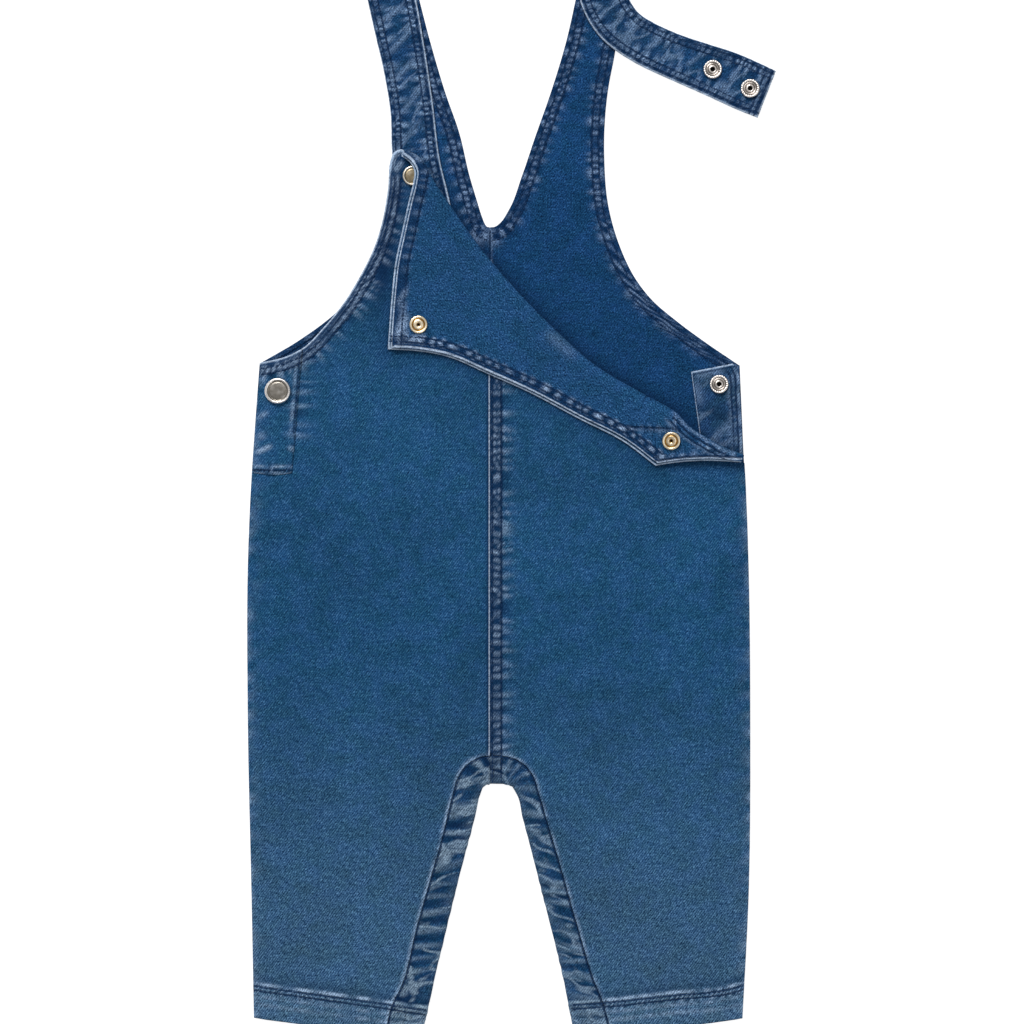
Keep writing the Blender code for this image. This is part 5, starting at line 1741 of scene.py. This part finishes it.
@dataclass
class Fronts:
    """The two fronts with the bib that turns down, and the facings and placket on them."""

    bib: TurnedBib = field(default_factory=TurnedBib)
    side_counts: tuple[int, ...] = (36, 58, 32, 92, 60)
    chest_rows: int = 34
    right_rows: int = 128
    right_rows_below: int = 36
    strip_lanes: int = 14
    main_lanes: int = 74
    placket_inset: float = 0.8 / 22.0

    def side_strip(self) -> Array:
        """The part of the left front between its side and the line of the side placket."""
        heights = (HEM_STOP_SIDE, *SIDE_STOPS, UNDERARM)
        side = rows_of(Lines.left_side, (Lines.left_side[0, 1], *heights), self.side_counts)
        heights = (HEM_STOP_SIDE, *SIDE_STOPS, PLACKET_LINE[-1][1])
        placket = rows_of(Lines.placket_line, (Lines.placket_line[0, 1], *heights), self.side_counts)
        shares = rim_shares(self.strip_lanes, 22.0, last=False)
        edge = stretch(Lines.left_armhole, 0, side[-1, 0], placket[-1, 0], shares)
        return between(side, placket, shares, head=edge)

    def middle_rows(self, upper: float) -> Array:
        """Row places up the left inner-leg seam and the centre line, to a height."""
        seam = Lines.left_inner_seam
        leg = rows_of(seam, (seam[0, 1], HEM_STOP_SEAM, SEAM_BEND, CROTCH_TOP), self.side_counts[:3])
        middle = straight((CENTRE, CROTCH_TOP), (CENTRE, upper), OUTLINE_POINTS)
        heights = (CROTCH_TOP, PLACKET_FOOT, UNDERARM, upper)
        return np.vstack([leg[:-1], rows_of(middle, heights, (*self.side_counts[3:], self.chest_rows))])

    def build_left(self) -> None:
        """Left front: side strip, main part, bib tab, and the corner that turns down."""
        part = self.bib.part(0, self.bib.counts[0])
        fold = part[0]
        strip = self.side_strip()
        chest = stretch(
            Lines.left_armhole, 1, PLACKET_LINE[-1][1], fold[-1, 1], place_shares(self.chest_rows)
        )
        upwards = 1 - (place_shares(self.bib.counts[0]) ** self.bib.crowding)[::-1]
        bib_edge = stretch(Lines.left_armhole, 1, fold[-1, 1], LEFT_ARMHOLE[-1][1], upwards)
        outer = np.vstack([strip[:, -1], chest[1:]])
        inner = drawn_in(self.middle_rows(fold[-1, 1]), outer, HALF_SEAM)
        inner[-1] = fold[-1]
        lanes = rim_shares(self.main_lanes, 100.0)
        shell = Shell(
            "front_left", CLOTH, FACE, "denim_face", (0.17, 0.49), "folded",
            ("back_left_cloth", "strap_left_cloth"),
        )
        shell.lay(strip, FRONT)
        shell.lay(between(outer, inner, lanes), FRONT)
        head = points_at(TAB_EDGE, distance_along(TAB_EDGE)[-1] * lanes)
        shell.lay(between(bib_edge, fold[::-1], lanes, head=head), FRONT)
        self.bib.turn_down(shell, part, TURNED, FRONT, 0.0)
        shell.build()

    def build_right(self) -> None:
        """Right front, from the hem to the fold, and the half of the bib that turns down."""
        part = self.bib.part(self.bib.counts[0], self.bib.total())
        fold = part[0]
        lanes = (fold[:, 0] - fold[0, 0]) / (fold[-1, 0] - fold[0, 0])
        heights = (Lines.right_side[0, 1], HEM_STOP_SIDE, *SIDE_STOPS[:2], fold[-1, 1])
        side = rows_of(Lines.right_side, heights, (*self.side_counts[:3], self.right_rows))
        seam = Lines.right_inner_seam
        leg = rows_of(seam, (seam[0, 1], HEM_STOP_SEAM, SEAM_BEND, CROTCH_TOP), self.side_counts[:3])
        middle = straight((CENTRE, CROTCH_TOP), (CENTRE, fold[0, 1]), self.right_rows + 1)
        inner = drawn_in(np.vstack([leg[:-1], middle]), side, HALF_SEAM)
        inner[-1] = fold[0]
        side[-1] = fold[-1]
        below = len(leg) + self.right_rows_below
        shell = Shell(
            "front_right", CLOTH, FACE, "denim_face", (0.17, 0.49), "folded",
            ("back_right_cloth", "back_placket_right_cloth"),
        )
        shell.lay(between(inner[:below], side[:below], lanes), FRONT_LAPPED)
        shell.lay(between(inner[below - 1 :], side[below - 1 :], lanes, head=fold), FRONT_LAPPED)
        self.bib.turn_down(shell, part, TURNED, FRONT_LAPPED, 0.0)
        shell.build()

    def build_facings(self) -> None:
        """The facing behind the bib and the placket that ends it at the side."""
        end = sum(self.bib.counts[:3])
        joint = np.array([line[end] for line in self.bib.stations()])
        for node, first, final, flat, under in (
            ("bib_facing", 0, end, (0.11, 0.22), "front_left_cloth"),
            ("front_placket_right", end, self.bib.total(), (0.045, 0.07), "front_right_cloth"),
        ):
            shell = Shell(node, FACING, REVERSE, "denim_reverse", flat, "folded", (under,), (joint,))
            part = self.bib.part(first, final)
            self.bib.turn_down(shell, part, REVERSED, FRONT_LAPPED, FACING_RISE)
            shell.build()

    def build_placket(self) -> None:
        """The side placket, laid on the left front and made from its places."""
        strip = self.side_strip()[-self.side_counts[-1] - 1 :]
        outer = strip[:, :1] + (strip[:, -1:] - strip[:, :1]) * self.placket_inset
        strip = outer + (strip - strip[:, :1]) * (1 - self.placket_inset)
        shell = Shell(
            "front_placket_left", FACING, FACE, "denim_face", (0.024, 0.072), "laid", ("front_left_cloth",)
        )
        shell.lay(strip, PLACKET)
        shell.build()

    def build(self) -> None:
        """Builds all the pieces of the front."""
        self.build_left()
        self.build_right()
        self.build_placket()
        self.build_facings()


@dataclass
class InnerLegs:
    """The strips round both inner leg edges: front half, fold, back half."""

    counts: tuple[int, int] = (150, 60)
    lanes: int = 16
    steps: int = 10

    def build_one(self, node: str, seam: Array, edge: Array, side: int) -> None:
        """Builds one strip.

        Args:
            node: the solid that it stands for.
            seam: the line where it meets the front.
            edge: the leg's inner edge.
            side: 1 where the gap between the legs lies to the strip's right, -1 to its left.
        """
        seam_rows = rows_of(seam, (seam[0, 1], SEAM_BEND, CROTCH_TOP), self.counts)
        edge_rows = rows_of(edge, (edge[0, 1], EDGE_BEND, CROTCH), self.counts)
        out = -side * normals_of(edge_rows)
        out[-1] = (0.0, -1.0)
        line = edge_rows - out * ((FRONT_LEVEL - BACK_LEVEL) / 2 + CLOTH / 2)
        for rows in (seam_rows, line):
            rows[-1, 0] = CENTRE - side * HALF_SEAM
        seam_rows[:-1] = drawn_in(seam_rows, line, HALF_SEAM)[:-1]
        seam_rows[-1, 1] -= HALF_SEAM
        flat = between(seam_rows, line, rim_shares(self.lanes, 16.0, last=False))
        shell = Shell(
            node, CLOTH, STRIP_LEFT if side > 0 else STRIP_RIGHT, "denim_face", (0.042, 0.17), "folded",
            ("back_left_cloth" if side > 0 else "back_right_cloth",),
        )
        shell.lay(flat, STRIPS)
        high = front_level(line) + STRIPS.marks(line)["height"]
        low = np.full(len(line), BACK_LEVEL)
        shell.shape(roll_grid(line, out, low, high, 0.0, -90.0, self.steps), STRIPS)
        back = np.concatenate([flat, np.full((*flat.shape[:-1], 1), BACK_LEVEL)], axis=-1)
        shell.shape(back, STRIPS)
        shell.build()

    def build(self) -> None:
        """Builds both strips."""
        self.build_one("inner_leg_left", Lines.left_inner_seam, Lines.left_inner_edge, 1)
        self.build_one("inner_leg_right", Lines.right_inner_seam, Lines.right_inner_edge, -1)


@dataclass
class Backs:
    """Both halves of the back, flat on the floor with their inside up, and the side placket."""

    side_counts: tuple[int, int, int, int] = (22, 12, 26, 20)
    back_counts: tuple[int, int, int] = (40, 12, 70)
    lanes: int = 64
    placket_rows: int = 46
    placket_lanes: int = 18

    def build_one(self, node: str, side: Array, seam: Array, armhole: Array, neck: Array) -> None:
        """Builds one half.

        Args:
            node: the solid that it stands for.
            side: its side line.
            seam: its inner-leg seam.
            armhole: its armhole, from the side up.
            neck: its neckline, from the centre up.
        """
        stops = (BACK_NECK, NECK_BEND, SHOULDER_SEAM)
        upper = armhole[0, 1]
        outer = np.vstack(
            [
                rows_of(side, (side[0, 1], *SIDE_STOPS, upper), self.side_counts)[:-1],
                rows_of(armhole, (upper, *stops), self.back_counts),
            ]
        )
        leg = rows_of(seam, (seam[0, 1], SEAM_BEND, CROTCH_TOP), self.side_counts[:2])
        middle = straight((CENTRE, CROTCH_TOP), (CENTRE, BACK_NECK), OUTLINE_POINTS)
        heights = (CROTCH_TOP, PLACKET_FOOT, UNDERARM, BACK_NECK)
        rows = rows_of(middle, heights, (*self.side_counts[2:], self.back_counts[0]))
        inner = np.vstack([leg[:-1], rows[:-1], rows_of(neck, stops, self.back_counts[1:])])
        grid = between(outer, drawn_in(inner, outer, HALF_SEAM), rim_shares(self.lanes, 110.0))
        shell = Shell(node, CLOTH, INSIDE, "denim_inside", (0.17, 0.58), "laid", (), (middle,))
        shell.lay(grid, BACK)
        shell.build()

    def build_placket(self) -> None:
        """The side placket on the inside of the right back."""
        inner = even_points(Lines.back_placket_inner, self.placket_rows)
        outer = even_points(Lines.back_placket_outer, self.placket_rows)
        shell = Shell(
            "back_placket_right", CLOTH, LAPEL, "denim_strap", (0.028, 0.065), "laid", ("back_right_cloth",)
        )
        shell.lay(between(inner, outer, rim_shares(self.placket_lanes, 24.0)), BACK_PLACKET)
        shell.build()

    def build(self) -> None:
        """Builds all the pieces of the back."""
        left = (Lines.left_side, Lines.left_inner_seam, Lines.back_left_armhole, Lines.neck_left)
        right = (Lines.right_side, Lines.right_inner_seam, Lines.back_right_armhole, Lines.neck_right)
        self.build_one("back_left", *left)
        self.build_one("back_right", *right)
        self.build_placket()


@dataclass
class Straps:
    """Both shoulder straps: from the shoulder seam up, over the shoulder fold, and down."""

    rows: int = 160
    lanes: int = 22
    steps: int = 10

    def build_one(
        self, node: str, left: Array, right: Array, ends: tuple[float, float], layer: Layer, length: float
    ) -> None:
        """Builds one strap.

        Args:
            node: the solid that it stands for.
            left: its edge at lane 0, from the shoulder fold to its end.
            right: its other edge.
            ends: where it is sewn to the back, across.
            layer: its layer.
            length: the length that it was cut to, in metres.
        """
        shares = rim_shares(self.lanes, 26.0)
        low = between(
            straight((ends[0], SHOULDER_SEAM + GAP), left[0], 6),
            straight((ends[1], SHOULDER_SEAM + GAP), right[0], 6),
            shares,
        )
        top = between(even_points(left, self.rows + 1), even_points(right, self.rows + 1), shares)
        base = top[0]
        out = np.tile((0.0, 1.0), (len(base), 1))
        bottom = np.full(len(base), STRAP / 2)
        high = layer.level(base) + layer.marks(base)["height"]
        shell = Shell(
            node, STRAP, BAND, "denim_strap", (0.04, length), "folded",
            ("back_left_cloth" if node == "strap_left" else "back_right_cloth",),
        )
        flat = np.full((*low.shape[:-1], 1), STRAP / 2)
        shell.shape(np.concatenate([low, flat], axis=-1), layer)
        shell.shape(roll_grid(base, out, bottom, high, 0.0, -90.0, self.steps), layer)
        shell.lay(top, layer)
        shell.build()

    def build(self) -> None:
        """Builds both straps."""
        self.build_one(
            "strap_left", Lines.left_strap_outer, Lines.left_strap_inner,
            (BACK_LEFT_ARMHOLE[-1][0], NECK_LEFT[-1][0]), STRAP_LEFT, 0.18,
        )
        self.build_one(
            "strap_right", Lines.right_strap_lower, Lines.right_strap_upper,
            (NECK_RIGHT[-1][0], BACK_RIGHT_ARMHOLE[-1][0]), STRAP_RIGHT, 0.17,
        )


@dataclass
class Stitching:
    """Lockstitches in rows, each a short thread that dips into the cloth at both ends."""

    pitch: float = 2.75
    length: float = 2.05
    radius: float = 0.26
    around: int = 6

    def build(self, name: str, slot: str, rows: list[tuple[Array, Layer, tuple[Array, ...]]]) -> None:
        """Builds the stitches of some rows as one piece.

        A stitch is six-sided rings along its length, thin at its ends, which dip below the
        cloth's upper face.

        Args:
            name: the piece's name.
            slot: not used.
            rows: each row's line, its layer, and the outlines of what hides it.
        """
        along = np.array((-1.0, -0.72, 0.72, 1.0))
        girth = np.array((0.3, 0.95, 0.95, 0.3))
        dip = np.array((-0.45, 0.05, 0.05, -0.45))
        angle = np.linspace(0, 2 * math.pi, self.around + 1)
        points = []
        for line, layer, hidden in rows:
            total = distance_along(line)[-1]
            middles = np.arange(self.pitch / 2, total - self.pitch / 2, self.pitch)
            spots = middles[:, None] + along[None] * self.length / 2
            centres = points_at(line, spots.ravel()).reshape(*spots.shape, 2)
            shown = np.ones(len(middles), bool)
            for outline in hidden:
                shown &= ~inside(centres[:, 1], outline)
            centres = centres[shown]
            heights = layer.top(centres) + self.radius * 0.35 + dip
            way = centres[:, -1] - centres[:, 0]
            way /= np.linalg.norm(way, axis=1)[:, None]
            side = np.stack([-way[:, 1], way[:, 0]], axis=-1)[:, None, None]
            reach = self.radius * girth[None, :, None]
            flat = centres[:, :, None] + side * (reach * np.cos(angle))[..., None]
            up = heights[:, :, None] + reach * np.sin(angle)
            tubes = np.concatenate([flat, up[..., None]], axis=-1)
            points.append(tubes.reshape(-1, len(along), len(angle), 3))
        rings = np.vstack(points)
        count, rings_each, around = rings.shape[:3]
        one = quads_of(rings_each, around)
        caps = np.array([[0, 1, 2, 3], [0, 3, 4, 5]])
        one = np.vstack([one, caps, caps + (rings_each - 1) * around])
        faces = (one[None] + (np.arange(count) * rings_each * around)[:, None, None]).reshape(-1, 4)
        mesh = fill_mesh(name, rings.reshape(-1, 3), faces, {})
        tidy_mesh(mesh, weld=0.002)
        add_piece(name, mesh, THREAD.make())


def sew() -> None:
    """Sews all the rows that show."""
    flap = (FLAP_OUTLINE,)
    stitching = Stitching()

    def rows(seam: Seam, layer: Layer, hidden: tuple[Array, ...] = ()) -> list:
        """A seam's rows as stitching takes them, less what lies under the hidden outlines."""
        return [(line, layer, hidden) for line in seam.row_lines()]

    armhole = [
        (line[(line[:, 0] > -115.0) & (line[:, 1] < TAB_START)], FRONT, flap)
        for line in ARMHOLE_SEAM.row_lines()
    ]
    armhole += [(line[line[:, 0] < -115.0], PLACKET, ()) for line in ARMHOLE_SEAM.row_lines()]
    stitching.build(
        "front_stitches",
        "denim_face",
        [
            *armhole, *rows(CENTRE_SEAM, FRONT_LAPPED, flap), *rows(HEM_SEAM_LEFT, FRONT),
            *rows(HEM_SEAM_RIGHT, FRONT_LAPPED), *rows(INNER_SEAM_LEFT, STRIPS),
            *rows(INNER_SEAM_RIGHT, STRIPS), *rows(PLACKET_SEAM, PLACKET),
            *rows(PLACKET_HEM, PLACKET),
        ],
    )
    stitching.build(
        "bib_stitches",
        "denim_reverse",
        [*rows(BIB_LEFT_SEAM, REVERSED), *rows(BIB_LOWER_SEAM, REVERSED), *rows(END_BAND, REVERSED)],
    )
    stitching.build(
        "back_stitches",
        "denim_inside",
        [
            *rows(BACK_ARMHOLE_RIGHT, BACK), *rows(NECK_SEAM_RIGHT, BACK),
            *rows(NECK_SEAM_LEFT, BACK, (BIB_OUTLINE, LEFT_STRAP_OUTLINE)),
            *rows(BACK_PLACKET_SEAM, BACK_PLACKET, flap),
        ],
    )
    stitching.build(
        "strap_stitches",
        "denim_strap",
        [row for seam in STRAP_LEFT.seams for row in rows(seam, STRAP_LEFT, (BIB_OUTLINE,))]
        + [row for seam in STRAP_RIGHT.seams for row in rows(seam, STRAP_RIGHT)],
    )


@dataclass
class Studio:
    """A pale floor, soft light, and the camera straight above."""

    aim: tuple[float, float] = (0.275, -5.5)
    frame_width: float = 563.2
    lens: float = 100.0
    sensor: float = 36.0
    floor_size: float = 8.0
    floor_level: float = -0.0003
    floor_colour: str = "#8C8C8C"
    floor_glow: float = 0.88
    sky: tuple[float, float, float, float] = (0.96, 0.98, 1.0, 1.0)
    sky_strength: float = 0.4

    def build(self) -> None:
        """Lays the floor, hangs the lights and sets the camera."""
        scene = bpy.context.scene
        half, level = self.floor_size / 2, self.floor_level
        mesh = bpy.data.meshes.new("floor")
        corners = [(-half, -half, level), (half, -half, level), (half, half, level), (-half, half, level)]
        mesh.from_pydata(corners, [], [(0, 1, 2, 3)])
        material, tree, shader = new_material("matt_paper")
        glow = {"Emission Color": (1.0, 1.0, 1.0, 1.0), "Emission Strength": self.floor_glow}
        fill_inputs(tree, shader, {"Base Color": linear(self.floor_colour), "Roughness": 0.95, **glow})
        mesh.materials.append(material)
        floor = bpy.data.objects.new("floor", mesh)
        scene.collection.objects.link(floor)
        world = bpy.data.worlds.new("studio")
        world.use_nodes = True
        light = {"Color": self.sky, "Strength": self.sky_strength}
        fill_inputs(world.node_tree, world.node_tree.nodes["Background"], light)
        scene.world = world
        scene.view_settings.view_transform = "Standard"
        self.add_light("key", (-0.7, 1.9, 2.0), 1.2, 80.0)
        self.add_light("fill", (0.9, -0.8, 1.8), 1.8, 10.0)
        camera = bpy.data.cameras.new("above")
        camera.lens, camera.sensor_width = self.lens, self.sensor
        camera.clip_start, camera.clip_end = 0.05, 20.0
        view = bpy.data.objects.new("above", camera)
        distance = self.frame_width * self.lens / self.sensor
        view.location = (self.aim[0] * MM, self.aim[1] * MM, distance * MM)
        scene.collection.objects.link(view)
        scene.camera = view

    def add_light(self, name: str, place: tuple[float, float, float], size: float, power: float) -> None:
        """Adds a square soft light that faces the middle of the garment.

        Args:
            name: its name.
            place: where it hangs, in metres.
            size: its side, in metres.
            power: in watts.
        """
        lamp = bpy.data.lights.new(name, "AREA")
        lamp.size, lamp.energy = size, power
        light = bpy.data.objects.new(name, lamp)
        light.location = place
        x, y, z = place
        light.rotation_euler = (math.acos(z / math.hypot(x, y, z)), 0.0, math.atan2(x, -y))
        bpy.context.scene.collection.objects.link(light)


def main() -> None:
    """Builds the garment, piece by piece, and lays it out under soft light."""
    Studio().build()
    Backs().build()
    Straps().build()
    InnerLegs().build()
    Fronts().build()
    Snaps.build()
    sew()


if __name__ == "__main__":
    logging.basicConfig(level=logging.INFO)
    main()
